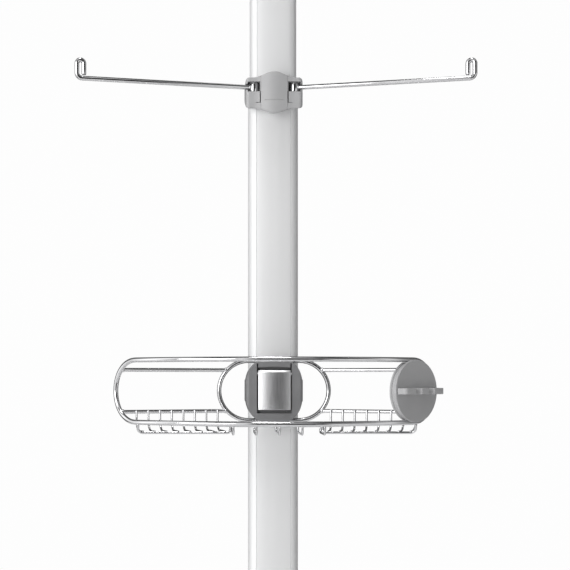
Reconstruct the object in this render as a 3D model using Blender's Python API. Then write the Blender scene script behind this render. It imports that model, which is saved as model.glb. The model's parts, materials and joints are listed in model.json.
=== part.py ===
"""Tension-pole shower caddy: a two-section telescoping pole that is wedged between floor and
ceiling, with a collar carrying two swinging towel arms and a wire basket on a sliding clamp.

Units are metres, +Z is up and the front of the caddy faces -Y. The origin is the centre of the
underside of the base pad. Every piece is one closed solid; pieces that touch keep a small gap.
"""
import math

import bmesh
import bpy
from mathutils import Vector

MM = 0.001
GAP = 0.3 * MM                       # clearance between two pieces that touch

# Housings of the collar and the basket clamp, which share one plan
HOUSING_HALF_WIDTH = 28.5 * MM
HOUSING_REAR = 17.0 * MM
FRONT_CORNER = 4.0 * MM              # plan radius of the front corners
REAR_CORNER = 7.0 * MM

# Pins and screws
PIN_RADIUS = 1.6 * MM
PIN_HOLE = 1.95 * MM
SCREW_RADIUS = 1.55 * MM
SCREW_HEAD = 3.0 * MM
SCREW_SEAT = 3.5 * MM                # radius of the counterbore round a screw's head

# Pole: the outer (lower) section and the inner (upper) section that slides in it
OUTER_HALF_WIDTH = 25.2 * MM
OUTER_HALF_DEPTH = 13.0 * MM
OUTER_FLAT = 17.0 * MM               # half width of the nearly flat front and back faces
OUTER_WALL = 1.4 * MM
INNER_HALF_WIDTH = 23.5 * MM
INNER_HALF_DEPTH = 11.25 * MM
INNER_FLAT = 16.3 * MM
INNER_WALL = 1.2 * MM
FACE_CROWN = 1.0 * MM                # how far the front face bulges at its middle
CREASE_ANGLE = math.radians(38)      # where the side curve starts, which leaves a crisp edge
OUTER_BOTTOM = 12.0 * MM
OUTER_TOP = 1145.4 * MM
INNER_BOTTOM = 76.0 * MM
INNER_TOP = 1470.0 * MM

# Base foot
PAD_HEIGHT = 3.0 * MM
PAD_INSET = 1.7 * MM                 # the pad's edge stands inside the foot's
FOOT_TOP = 46.0 * MM
FOOT_HALF_WIDTH = 44.0 * MM
FOOT_HALF_DEPTH = 31.0 * MM
FOOT_NECK_WIDTH = 29.0 * MM
FOOT_NECK_DEPTH = 17.0 * MM
BASE_SCREW_Z = 30.0 * MM

# Collar and towel arms
COLLAR_FRONT = 24.5 * MM
COLLAR_BULGE = 4.0 * MM              # how far the cover stands proud of the sides
COLLAR_MIDDLE = 1141.2 * MM
COLLAR_SIDE_HEIGHT = 15.3 * MM       # half height at the sides
COLLAR_RISE = 5.3 * MM               # extra half height under the cover
COLLAR_SWELL = 21.0 * MM             # half width of the bulge
COLLAR_REAR_LIFT = 10.0 * MM         # the underside rises this much towards the back
COLLAR_SCREW_X = 7.0 * MM
COLLAR_SCREW_Z = 1131.4 * MM
COVER_HALF_WIDTH = 13.3 * MM
COVER_LINE_Z = 1133.5 * MM           # fine groove across the cover
COVER_LINE_HALF_WIDTH = 9.5 * MM
COVER_LINE_HALF_HEIGHT = 0.5 * MM
COVER_LINE_DEPTH = 0.5 * MM
WINDOW_INNER = 13.9 * MM             # the arms' windows, from the middle out
WINDOW_OUTER = 26.4 * MM
WINDOW_HALF_HEIGHT = 5.0 * MM
WINDOW_BACK = -14.4 * MM
ARM_SLOT_HALF_HEIGHT = 3.0 * MM
ARM_HEIGHT = 1147.4 * MM
ARM_PIVOT_X = 20.0 * MM
ARM_PIVOT_Y = -19.0 * MM
ARM_REACH = 176.2 * MM               # pivot to the middle of the upturned end
ARM_WIRE = 2.25 * MM                 # wire radius
ARM_TURN = 3.35 * MM                 # radius of the hook's two bends
ARM_HOOK_TOP = 17.4 * MM             # height of the hook's top over the arm
ARM_SWING = math.radians(13.2)       # how far the arms stand forward at rest
BARREL_RADIUS = 4.0 * MM
BARREL_HALF = 4.7 * MM
BARREL_BORE = 2.0 * MM
LOCK_HEIGHT = 1154.4 * MM
LOCK_SCREW = 1.95 * MM
LOCK_PAD = 3.0 * MM
KNOB_RADIUS = 10.4 * MM
KNOB_LOBE = 0.9 * MM
KNOB_LOBES = 6
KNOB_FRONT = 21.0 * MM
KNOB_BACK = 33.0 * MM

# Basket
BASKET_HEIGHT = 846.1 * MM           # middle of the front and rear loops
LOOP_RADIUS = 29.6 * MM              # half height of both loops
LOOP_WIRE = 2.35 * MM
FRONT_Y = -125.0 * MM
BOW_RADIUS = 200.0 * MM              # plan radius of the bowed front loop
BOW_LEFT = 147.3 * MM                # the straight runs' reach along the bow, to the left
BOW_RIGHT = 140.5 * MM               # and to the right, where the brush holder sits
REAR_LOOP_Y = -18.6 * MM
REAR_LOOP_HALF = 24.9 * MM           # half length of its straight runs
REAR_LOOP_WIRE = 2.2 * MM
RAIL_OFFSET = 20.3 * MM              # rear rails above and below the middle
RAIL_WIRE = 1.9 * MM
GRID_WIRE = 1.0 * MM
GRID_PITCH = 11.2 * MM
GRID_FIRST = 5                       # the grid's wires stand at 5 to 12 pitches from the middle
GRID_LAST = 12
GRID_Z = 807.4 * MM                  # middle of the floor wires
GRID_CLOSING = 7.5 * MM              # how far each wire closes inward towards its front end
GRID_BEND = 10.0 * MM
GRID_TIE_Y = -70.0 * MM
GRID_TIE_WIRE = 1.25 * MM
DISH_Y = -90.0 * MM
DISH_HALF_WIDTH = 70.0 * MM
DISH_HALF_DEPTH = 30.5 * MM
DISH_Z = 815.0 * MM
DISH_FLOOR_Z = 806.6 * MM
DISH_WIRE = 1.5 * MM
DISH_DROP_WIRE = 1.1 * MM
DISH_PITCH = 21.0 * MM

# Basket clamp and its lever
CLAMP_FRONT = 27.4 * MM
CLAMP_HEIGHT = 33.0 * MM             # half height in the middle
CLAMP_SIDE_HEIGHT = 11.0 * MM        # half height at the sides
CLAMP_ROUNDNESS = 2.5                # power of the curve that its shoulders follow
CLAMP_BULGE = 0.6 * MM
LEVER_RECESS = 1.3 * MM              # clearance at each side of the lever
LEVER_PIN_HALF = 20.0 * MM
LEVER_HALF_WIDTH = 15.9 * MM
LEVER_PIVOT_Y = -25.4 * MM
LEVER_PIVOT_Z = 862.5 * MM
LEVER_TOP = 866.2 * MM
LEVER_BOTTOM = 827.0 * MM
CAM_RADIUS = 4.6 * MM
CAM_OFFSET = 1.2 * MM                # the cam's middle stands behind the pivot
BRAKE_HALF_WIDTH = 10.6 * MM
PLATE_THICKNESS = 1.2 * MM
PLATE_CROWN = 2.2 * MM               # how far the plate bulges in the middle
PLATE_BEVEL = 1.8 * MM               # height of the slope along its top edge

# Brush holder
HOLDER_RADIUS = 29.7 * MM
HOLDER_FACE = 4.2 * MM               # face in front of the loop's wire
HOLDER_BACK = 4.0 * MM               # back behind it
SHELF_REACH = 10.5 * MM
SHELF_HALF_WIDTH = 28.0 * MM
SHELF_HALF_THICKNESS = 3.0 * MM
NOTCH_X = 9.0 * MM
NOTCH_HALF = 3.5 * MM
NOTCH_DEPTH = 6.5 * MM

# Spring-loaded top
SPRING_BOTTOM = 1364.0 * MM
SPRING_TOP = 1433.5 * MM
SPRING_RADIUS = 7.2 * MM
SPRING_WIRE = 1.1 * MM
SPRING_TURNS = 9
PLUNGER_RADIUS = 6.0 * MM
PLUNGER_FLANGE = 8.6 * MM
TOP_FOOT_BOTTOM = 1512.0 * MM
TOP_FOOT_TOP = 1540.0 * MM
TOP_PAD_TOP = 1543.5 * MM


# ---------------------------------------------------------------- scene and materials

def clear_scene():
    for item in list(bpy.data.objects):
        bpy.data.objects.remove(item, do_unlink=True)


def make_material(name, colour, roughness, metallic):
    material = bpy.data.materials.new(name)
    material.use_nodes = True
    shader = material.node_tree.nodes["Principled BSDF"]
    shader.inputs["Base Color"].default_value = (*colour, 1.0)
    shader.inputs["Roughness"].default_value = roughness
    shader.inputs["Metallic"].default_value = metallic
    return material


FINISHES = {
    "aluminium": ((0.76, 0.77, 0.78), 0.32, 1.0),
    "chrome": ((0.86, 0.86, 0.87), 0.08, 1.0),
    "brushed": ((0.66, 0.66, 0.67), 0.28, 1.0),
    "steel": ((0.55, 0.55, 0.56), 0.35, 1.0),
    "plastic": ((0.36, 0.37, 0.38), 0.45, 0.0),
    "dark_plastic": ((0.16, 0.16, 0.17), 0.5, 0.0),
    "rubber": ((0.06, 0.06, 0.065), 0.8, 0.0),
}

BODIES = {}


def make_body(name, origin, parent=None):
    """An empty on a moving body's joint axis; the body's pieces hang on it."""
    empty = bpy.data.objects.new("axis_" + name, None)
    empty.empty_display_size = 0.02
    bpy.context.scene.collection.objects.link(empty)
    place = Vector(origin)
    if parent:
        empty.parent = BODIES[parent][0]
        empty.location = place - BODIES[parent][1]
    else:
        empty.location = place
    BODIES[name] = (empty, place)


def make_piece(name, bm, finish, body="root"):
    """Turn a mesh in world coordinates into a named piece that hangs on its body's empty."""
    empty, origin = BODIES[body]
    bmesh.ops.recalc_face_normals(bm, faces=bm.faces)
    bmesh.ops.translate(bm, verts=bm.verts, vec=-origin)
    mesh = bpy.data.meshes.new(name)
    bm.to_mesh(mesh)
    bm.free()
    mesh.materials.append(make_material(name + "_finish", *FINISHES[finish]))
    mesh.shade_smooth()
    mesh.set_sharp_from_angle(angle=math.radians(35))
    piece = bpy.data.objects.new(name, mesh)
    piece.parent = empty
    bpy.context.scene.collection.objects.link(piece)
    return piece


def combine(piece, bm, operation):
    """Cut a mesh in world coordinates out of a piece, or join it to the piece."""
    tool = make_piece(piece.name + "_tool", bm, "steel")
    tool.hide_render = True
    tool.display_type = "WIRE"
    modifier = piece.modifiers.new(operation.lower(), "BOOLEAN")
    modifier.operation = operation
    modifier.solver = "EXACT"
    modifier.object = tool


def cut(piece, bm):
    combine(piece, bm, "DIFFERENCE")


def join(piece, bm):
    combine(piece, bm, "UNION")


# ---------------------------------------------------------------- solids

def loft(sections, closed=False, bm=None):
    """Skin rings of equally many points; the ends are capped unless the loft closes on itself."""
    bm = bm or bmesh.new()
    rings = []
    for section in sections:
        rings.append([bm.verts.new(point) for point in section])
    count = len(rings[0])
    pairs = list(zip(rings, rings[1:]))
    if closed:
        pairs.append((rings[-1], rings[0]))
    for low, high in pairs:
        for i in range(count):
            j = (i + 1) % count
            bm.faces.new((low[i], low[j], high[j], high[i]))
    if not closed:
        bm.faces.new(rings[0])
        bm.faces.new(rings[-1])
    return bm


def prism(outline, bottom, top, bm=None):
    sections = [[(x, y, z) for x, y in outline] for z in (bottom, top)]
    return loft(sections, bm=bm)


def hollow_prism(outer, inner, bottom, top):
    """A tube with a wall between two outlines of equally many points."""
    corners = ((outer, bottom), (outer, top), (inner, top), (inner, bottom))
    sections = [[(x, y, z) for x, y in outline] for outline, z in corners]
    return loft(sections, closed=True)


def box(low, high, bm=None):
    outline = ((low[0], low[1]), (high[0], low[1]), (high[0], high[1]), (low[0], high[1]))
    return prism(outline, low[2], high[2], bm=bm)


def turned(stations, centre, axis, sides=16, bore=None, bm=None):
    """A turned piece: (distance along the axis, radius) stations, with an optional through bore."""
    axis = Vector(axis).normalized()
    side = axis.orthogonal().normalized()
    other = axis.cross(side)
    profile = list(stations)
    if bore:
        profile += [(stations[-1][0], bore), (stations[0][0], bore)]
    sections = []
    for distance, radius in profile:
        middle = Vector(centre) + axis * distance
        angles = [math.tau * i / sides for i in range(sides)]
        sections.append([middle + side * (radius * math.cos(a)) + other * (radius * math.sin(a))
                         for a in angles])
    return loft(sections, closed=bool(bore), bm=bm)


def circle_section(radius, sides):
    angles = [math.tau * (i + 0.5) / sides for i in range(sides)]
    return [(radius * math.cos(a), radius * math.sin(a)) for a in angles]


def sweep(path, references, section, closed=False, bm=None):
    """Carry a flat section along a path; a reference direction keeps each ring from twisting."""
    count = len(path)
    sections = []
    for i, point in enumerate(path):
        before = path[i - 1] if i or closed else point
        after = path[(i + 1) % count] if i < count - 1 or closed else point
        along = (after - before).normalized()
        across = references[i] - along * references[i].dot(along)
        across.normalize()
        up = along.cross(across)
        sections.append([point + across * u + up * v for u, v in section])
    return loft(sections, closed=closed, bm=bm)


def wire(path, radius, reference, sides=8, closed=False, bm=None):
    points = [Vector(p) for p in path]
    references = [Vector(reference)] * len(points)
    return sweep(points, references, circle_section(radius, sides), closed, bm)


def rounded_path(corners, radii, steps=4):
    """A polyline whose inner corners are rounded to the given radii."""
    points = [Vector(corners[0])]
    for i, radius in enumerate(radii, start=1):
        corner = Vector(corners[i])
        back = (Vector(corners[i - 1]) - corner).normalized()
        ahead = (Vector(corners[i + 1]) - corner).normalized()
        half = back.angle(ahead) / 2
        middle = corner + (back + ahead).normalized() * (radius / math.sin(half))
        start = corner + back * (radius / math.tan(half)) - middle
        end = corner + ahead * (radius / math.tan(half)) - middle
        turn = math.pi - 2 * half
        for k in range(steps + 1):
            share = k / steps
            blend = (start * math.sin((1 - share) * turn) + end * math.sin(share * turn))
            points.append(middle + blend / math.sin(turn))
    points.append(Vector(corners[-1]))
    return points


# ---------------------------------------------------------------- outlines

def pole_outline(half_width, half_depth, flat, steps=5):
    """The pole's plan: crowned front and back faces, a crisp edge, and curved sides."""
    shoulder = half_depth - FACE_CROWN
    quarter = []
    for i in range(steps + 1):
        angle = CREASE_ANGLE + (math.pi / 2 - CREASE_ANGLE) * i / steps
        reach = (math.sin(angle) - math.sin(CREASE_ANGLE)) / (1 - math.sin(CREASE_ANGLE))
        quarter.append((flat + (half_width - flat) * reach,
                        -shoulder * math.cos(angle) / math.cos(CREASE_ANGLE)))
    face = []
    for i in range(1, steps):
        x = flat * (2 * i / steps - 1)
        face.append((x, -half_depth + FACE_CROWN * (x / flat) ** 2))
    right = quarter + [(x, -y) for x, y in reversed(quarter[:-1])]
    back = [(-x, -y) for x, y in face]
    left = [(-x, -y) for x, y in right]
    return face + right + back + left


def outer_outline(grow=0.0):
    return pole_outline(OUTER_HALF_WIDTH + grow, OUTER_HALF_DEPTH + grow, OUTER_FLAT + grow / 2)


def inner_outline(grow=0.0):
    return pole_outline(INNER_HALF_WIDTH + grow, INNER_HALF_DEPTH + grow, INNER_FLAT + grow / 2)


def superellipse(half_width, half_depth, power=2.6, count=36):
    points = []
    for i in range(count):
        angle = math.tau * (i + 0.5) / count
        c, s = math.cos(angle), math.sin(angle)
        points.append((half_width * math.copysign(abs(c) ** (2 / power), c),
                       half_depth * math.copysign(abs(s) ** (2 / power), s)))
    return points


def stack(levels, power=2.6, count=36):
    """A lofted foot: (height, half width, half depth) levels of one superellipse."""
    sections = []
    for height, half_width, half_depth in levels:
        outline = superellipse(half_width, half_depth, power, count)
        sections.append([(x, y, height) for x, y in outline])
    return loft(sections)


def swell(x, start, end):
    """1 at the middle, falling smoothly to 0 between two distances from it."""
    share = min(max((abs(x) - start) / (end - start), 0.0), 1.0)
    return (1 + math.cos(math.pi * share)) / 2


def housing(stations, front, rear, half_height, middle, rear_lift=0.0):
    """A housing lofted across the pole; its front, rear and half height are functions of x."""
    sections = []
    for x in stations:
        low, high = middle - half_height(x), middle + half_height(x)
        sections.append([(x, -front(x), low), (x, rear(x), low + rear_lift),
                         (x, rear(x), high), (x, -front(x), high)])
    return loft(sections)


def corner_drop(x, radius):
    """How far a housing's rounded plan corner has fallen away at x."""
    inside = abs(x) - (HOUSING_HALF_WIDTH - radius)
    if inside <= 0:
        return 0.0
    return radius - math.sqrt(max(radius ** 2 - inside ** 2, 0.0))


def housing_rear(x):
    return HOUSING_REAR - corner_drop(x, REAR_CORNER)


def housing_stations():
    """Positions across a housing, close together on its rounded corners."""
    flat = HOUSING_HALF_WIDTH - FRONT_CORNER
    corner = [flat + FRONT_CORNER * math.sin(math.pi / 2 * i / 4) for i in range(1, 5)]
    field = [flat * i / 9 for i in range(1, 10)]
    half = field + corner
    return [-x for x in reversed(half)] + [0.0] + half


# ---------------------------------------------------------------- pole and base

def build_pole():
    inner_wall = pole_outline(OUTER_HALF_WIDTH - OUTER_WALL, OUTER_HALF_DEPTH - OUTER_WALL,
                              OUTER_FLAT - OUTER_WALL / 2)
    lower = make_piece("lower_pole", hollow_prism(outer_outline(), inner_wall,
                                                  OUTER_BOTTOM, OUTER_TOP), "aluminium")
    through_wall = ((8 * MM, PIN_HOLE), (16 * MM, PIN_HOLE))
    for x in (-COLLAR_SCREW_X, COLLAR_SCREW_X):
        cut(lower, turned(through_wall, (x, 0, COLLAR_SCREW_Z), (0, -1, 0), 12))
    cut(lower, turned(through_wall, (0, 0, BASE_SCREW_Z), (0, 1, 0), 12))

    inner_bore = pole_outline(INNER_HALF_WIDTH - INNER_WALL, INNER_HALF_DEPTH - INNER_WALL,
                              INNER_FLAT - INNER_WALL / 2)
    make_piece("upper_pole", hollow_prism(inner_outline(), inner_bore,
                                          INNER_BOTTOM, INNER_TOP), "aluminium", "upper_pole")


def build_base():
    width, depth = FOOT_HALF_WIDTH - PAD_INSET, FOOT_HALF_DEPTH - PAD_INSET
    make_piece("base_pad", stack(((0, width - 0.8 * MM, depth - 0.8 * MM),
                                  (0.6 * MM, width, depth), (PAD_HEIGHT, width, depth))),
               "rubber")
    foot = make_piece("base_foot", stack((
        (PAD_HEIGHT + GAP, FOOT_HALF_WIDTH - 0.8 * MM, FOOT_HALF_DEPTH - 0.8 * MM),
        (PAD_HEIGHT + 1.5 * MM, FOOT_HALF_WIDTH, FOOT_HALF_DEPTH),
        (9 * MM, FOOT_HALF_WIDTH, FOOT_HALF_DEPTH),
        (14 * MM, FOOT_HALF_WIDTH - 2.5 * MM, FOOT_HALF_DEPTH - 2.5 * MM),
        (20 * MM, FOOT_NECK_WIDTH + 4 * MM, FOOT_NECK_DEPTH + 4 * MM),
        (28 * MM, FOOT_NECK_WIDTH + 0.8 * MM, FOOT_NECK_DEPTH + 0.8 * MM),
        (FOOT_TOP - 1 * MM, FOOT_NECK_WIDTH, FOOT_NECK_DEPTH),
        (FOOT_TOP, FOOT_NECK_WIDTH - 1 * MM, FOOT_NECK_DEPTH - 1 * MM))), "plastic")
    cut(foot, prism(outer_outline(GAP), OUTER_BOTTOM - GAP, FOOT_TOP + 10 * MM))
    cut(foot, turned(((10 * MM, PIN_HOLE), (40 * MM, PIN_HOLE)),
                     (0, 0, BASE_SCREW_Z), (0, 1, 0), 12))
    cut(foot, turned(((15.4 * MM, SCREW_SEAT), (40 * MM, SCREW_SEAT)),
                     (0, 0, BASE_SCREW_Z), (0, 1, 0), 16))
    make_screw("base_screw", (0, 0, BASE_SCREW_Z), (0, 1, 0), 11.9 * MM, 15.7 * MM)


def make_screw(name, centre, axis, tip, seat):
    """A pan-head screw with a cross recess; distances run along the axis from the centre."""
    stations = ((tip, SCREW_RADIUS - 0.45 * MM), (tip + 0.8 * MM, SCREW_RADIUS),
                (seat, SCREW_RADIUS), (seat, SCREW_HEAD), (seat + 1.2 * MM, SCREW_HEAD),
                (seat + 1.9 * MM, SCREW_HEAD - 0.9 * MM))
    piece = make_piece(name, turned(stations, centre, axis, 12), "steel")
    mouth = Vector(centre) + Vector(axis) * (seat + 2.4 * MM)
    long, narrow, depth = 1.9 * MM, 0.45 * MM, 1.4 * MM
    for half_x, half_z in ((long, narrow), (narrow, long)):
        cut(piece, box((mouth.x - half_x, mouth.y - depth, mouth.z - half_z),
                       (mouth.x + half_x, mouth.y + depth, mouth.z + half_z)))


# ---------------------------------------------------------------- collar

def collar_half_height(x):
    rise = COLLAR_RISE * swell(x, 0, COLLAR_SWELL)
    return COLLAR_SIDE_HEIGHT + rise - corner_drop(x, FRONT_CORNER)


def collar_front(x):
    bulge = COLLAR_BULGE * swell(x, 0, COLLAR_SWELL)
    return COLLAR_FRONT + bulge - corner_drop(x, FRONT_CORNER)


def build_collar():
    body = make_piece("collar_body", housing(housing_stations(), collar_front, housing_rear,
                                             collar_half_height, COLLAR_MIDDLE,
                                             COLLAR_REAR_LIFT), "plastic")
    join(body, turned(((14 * MM, 8 * MM), (20.5 * MM, 7 * MM)),
                      (0, 0, LOCK_HEIGHT - 2 * MM), (0, 1, 0), 20))
    cut(body, prism(outer_outline(GAP), COLLAR_MIDDLE - 40 * MM, OUTER_TOP + GAP))
    cut(body, prism(inner_outline(GAP), OUTER_TOP - 5 * MM, COLLAR_MIDDLE + 40 * MM))
    seat = COVER_HALF_WIDTH + GAP
    cut(body, box((-seat, -60 * MM, COLLAR_MIDDLE - 40 * MM),
                  (seat, -COLLAR_FRONT + GAP, COLLAR_MIDDLE + 40 * MM)))
    for name, side in (("left", -1), ("right", 1)):
        openings = ((WINDOW_INNER, WINDOW_OUTER, WINDOW_HALF_HEIGHT),
                    (WINDOW_OUTER - 1 * MM, 40 * MM, ARM_SLOT_HALF_HEIGHT))
        for near, far, half_height in openings:
            low, high = sorted((side * near, side * far))
            cut(body, box((low, -60 * MM, ARM_HEIGHT - half_height),
                          (high, WINDOW_BACK, ARM_HEIGHT + half_height)))
        cut(body, turned(((-8.3 * MM, PIN_HOLE), (30 * MM, PIN_HOLE)),
                         (side * ARM_PIVOT_X, ARM_PIVOT_Y, ARM_HEIGHT), (0, 0, 1), 12))
        screw_centre = (side * COLLAR_SCREW_X, 0, COLLAR_SCREW_Z)
        cut(body, turned(((8 * MM, PIN_HOLE), (40 * MM, PIN_HOLE)), screw_centre, (0, -1, 0), 12))
        cut(body, turned(((21.2 * MM, SCREW_SEAT), (40 * MM, SCREW_SEAT)),
                         screw_centre, (0, -1, 0), 16))
        make_screw("collar_screw_" + name, screw_centre, (0, -1, 0), 11.9 * MM, 21.5 * MM)
    cut(body, turned(((8 * MM, LOCK_PAD + 0.4 * MM), (13.6 * MM, LOCK_PAD + 0.4 * MM)),
                     (0, 0, LOCK_HEIGHT), (0, 1, 0), 16))
    cut(body, turned(((8 * MM, LOCK_SCREW + GAP), (40 * MM, LOCK_SCREW + GAP)),
                     (0, 0, LOCK_HEIGHT), (0, 1, 0), 16))
    build_cover()


def build_cover():
    """The bulging front cover, with a fine groove that follows its curve."""
    stations = [COVER_HALF_WIDTH * i / 6 for i in range(-6, 7)]
    cover = make_piece("collar_cover", housing(stations, collar_front,
                                               lambda x: -COLLAR_FRONT, collar_half_height,
                                               COLLAR_MIDDLE), "plastic")
    stations = [COVER_LINE_HALF_WIDTH * i / 5 for i in range(-5, 6)]
    cut(cover, housing(stations, lambda x: 60 * MM,
                       lambda x: COVER_LINE_DEPTH - collar_front(x),
                       lambda x: COVER_LINE_HALF_HEIGHT, COVER_LINE_Z))


def build_pole_lock():
    centre = (0, 0, LOCK_HEIGHT)
    make_piece("lock_pad", turned(((11.6 * MM, LOCK_PAD), (13.0 * MM, LOCK_PAD)),
                                  centre, (0, 1, 0), 16), "dark_plastic")
    screw_end = KNOB_BACK - 3 * MM
    make_piece("lock_screw", turned(((13.3 * MM, LOCK_SCREW), (screw_end, LOCK_SCREW)),
                                    centre, (0, 1, 0), 16), "steel", "lock_knob")
    count = KNOB_LOBES * 6
    sections = []
    for distance, scale in ((KNOB_FRONT, 0.86), (KNOB_FRONT + 1.2 * MM, 1.0),
                            (KNOB_BACK - 2 * MM, 1.0), (KNOB_BACK, 0.8)):
        ring = []
        for i in range(count):
            angle = math.tau * i / count
            radius = (KNOB_RADIUS + KNOB_LOBE * math.cos(KNOB_LOBES * angle)) * scale
            ring.append((radius * math.cos(angle), distance,
                         LOCK_HEIGHT + radius * math.sin(angle)))
        sections.append(ring)
    knob = make_piece("lock_knob", loft(sections), "dark_plastic", "lock_knob")
    cut(knob, turned(((15 * MM, LOCK_SCREW + GAP), (screw_end + GAP, LOCK_SCREW + GAP)),
                     centre, (0, 1, 0), 16))


# ---------------------------------------------------------------- towel arms

def arm_path(side):
    """Out from the barrel, up, and back down in a small closed hook."""
    out = Vector((side * math.cos(ARM_SWING), -math.sin(ARM_SWING), 0))
    up = Vector((0, 0, 1))
    pivot = Vector((side * ARM_PIVOT_X, ARM_PIVOT_Y, ARM_HEIGHT))
    top = ARM_HOOK_TOP - ARM_TURN
    corner = pivot + out * ARM_REACH
    path = rounded_path((pivot + out * (BARREL_RADIUS + GAP), corner, corner + up * top),
                        (ARM_TURN * 1.9,), 5)
    crown = corner - out * ARM_TURN + up * top
    for i in range(1, 9):
        angle = math.pi * i / 8
        path.append(crown + out * (ARM_TURN * math.cos(angle)) + up * (ARM_TURN * math.sin(angle)))
    path.append(corner - out * (2 * ARM_TURN) + up * (ARM_WIRE + 0.9 * MM))
    return path, out.cross(up)


def build_arms():
    for name, side in (("left", -1), ("right", 1)):
        pivot = (side * ARM_PIVOT_X, ARM_PIVOT_Y, ARM_HEIGHT)
        body = "arm_" + name
        path, normal = arm_path(side)
        make_piece("towel_arm_" + name, wire(path, ARM_WIRE, normal, 8), "chrome", body)
        make_piece("arm_barrel_" + name,
                   turned(((-BARREL_HALF, BARREL_RADIUS), (BARREL_HALF, BARREL_RADIUS)),
                          pivot, (0, 0, 1), 20, bore=BARREL_BORE), "chrome", body)
        make_piece("arm_pin_" + name,
                   turned(((-8 * MM, PIN_RADIUS), (8.5 * MM, PIN_RADIUS)), pivot, (0, 0, 1), 12),
                   "steel")


# ---------------------------------------------------------------- basket wires

def bow_point(distance, height, inset=0.0):
    """A point on the bowed front, by the distance along it, and the bow's outward direction."""
    angle = distance / BOW_RADIUS
    outward = Vector((math.sin(angle), -math.cos(angle), 0))
    centre = Vector((0, FRONT_Y + BOW_RADIUS, height))
    return centre + outward * (BOW_RADIUS - inset), outward


def stadium(left, right, radius, run_steps, turn_steps):
    """A closed slot-shaped outline: (distance along, height) pairs, clockwise from top left."""
    points = []
    for side, start, end in ((1, -left, right), (-1, right, -left)):
        for i in range(run_steps):
            points.append((start + (end - start) * i / run_steps, side * radius))
        for i in range(turn_steps):
            angle = math.pi / 2 - math.pi * i / turn_steps
            points.append((end + side * radius * math.cos(angle),
                           side * radius * math.sin(angle)))
    return points


def build_front_loop():
    path, references = [], []
    for distance, height in stadium(BOW_LEFT, BOW_RIGHT, LOOP_RADIUS, 14, 10):
        point, outward = bow_point(distance, BASKET_HEIGHT + height)
        path.append(point)
        references.append(outward)
    bm = sweep(path, references, circle_section(LOOP_WIRE, 8), closed=True)
    make_piece("front_loop", bm, "chrome", "basket")


def build_rear_loop():
    path = [(x, REAR_LOOP_Y, BASKET_HEIGHT + height)
            for x, height in stadium(REAR_LOOP_HALF, REAR_LOOP_HALF, LOOP_RADIUS, 1, 10)]
    make_piece("rear_loop", wire(path, REAR_LOOP_WIRE, (0, 1, 0), 8, closed=True),
               "chrome", "basket")


def rail_ends(side, level):
    """Where a rear rail meets the front loop and the rear loop."""
    reach = math.sqrt(LOOP_RADIUS ** 2 - RAIL_OFFSET ** 2)
    height = BASKET_HEIGHT + level * RAIL_OFFSET
    run = BOW_RIGHT if side > 0 else BOW_LEFT
    outer, _ = bow_point(side * (run + reach), height)
    inner = Vector((side * (REAR_LOOP_HALF + reach), REAR_LOOP_Y, height))
    return outer, inner


def build_rear_rails():
    for side_name, side in (("left", -1), ("right", 1)):
        for level_name, level in (("lower", -1), ("upper", 1)):
            outer, inner = rail_ends(side, level)
            along = (outer - inner).normalized()
            path = (inner + along * (REAR_LOOP_WIRE + 3.2 * MM),
                    outer - along * (LOOP_WIRE + 1.5 * MM))
            make_piece("rear_rail_" + level_name + "_" + side_name,
                       wire(path, RAIL_WIRE, (0, 0, 1), 8), "chrome", "basket")


def grid_wire_path(side, step):
    """One floor wire: down from the rear rail, then forward and inward to the tie wire."""
    outer, inner = rail_ends(side, -1)
    x = side * step * GRID_PITCH
    share = (x - inner.x) / (outer.x - inner.x)
    lap = RAIL_WIRE + GRID_WIRE + GAP
    rear = Vector((x, inner.y + (outer.y - inner.y) * share - lap / 0.9, 0))
    front = Vector((x - side * GRID_CLOSING, GRID_TIE_Y - GRID_TIE_WIRE, 0))
    up = Vector((0, 0, 1))
    corners = (rear + up * (BASKET_HEIGHT - RAIL_OFFSET + 1.5 * MM),
               rear + up * GRID_Z,
               front + up * GRID_Z)
    return rounded_path(corners, (GRID_BEND,), 5)


def grid_tie_path(side):
    """The tie wire: up to the dish's ring at its inner end and to the loop at its outer end."""
    low = GRID_Z - 1.0 * MM
    inner, outer = side * 44 * MM, side * 132 * MM
    loop, _ = bow_point(BOW_RADIUS * math.asin(outer / BOW_RADIUS), 0)
    corners = ((inner, dish_edge(inner, 1), DISH_Z - DISH_WIRE - GRID_TIE_WIRE),
               (inner, GRID_TIE_Y, low),
               (outer, GRID_TIE_Y, low),
               (outer, loop.y, BASKET_HEIGHT - LOOP_RADIUS - LOOP_WIRE - GRID_TIE_WIRE))
    return rounded_path(corners, (3 * MM, 4.5 * MM), 4)


def build_floor_grids():
    """Each grid is its floor wires joined by one tie wire under their front ends."""
    for name, side in (("left", -1), ("right", 1)):
        tie = wire(grid_tie_path(side), GRID_TIE_WIRE, (0, 1, 0), 6)
        grid = make_piece("floor_grid_" + name, tie, "chrome", "basket")
        wires = bmesh.new()
        for step in range(GRID_FIRST, GRID_LAST + 1):
            wire(grid_wire_path(side, step), GRID_WIRE, (1, 0, 0), 6, bm=wires)
        join(grid, wires)


def dish_edge(x, side):
    return DISH_Y + side * DISH_HALF_DEPTH * math.sqrt(1 - (x / DISH_HALF_WIDTH) ** 2)


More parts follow.
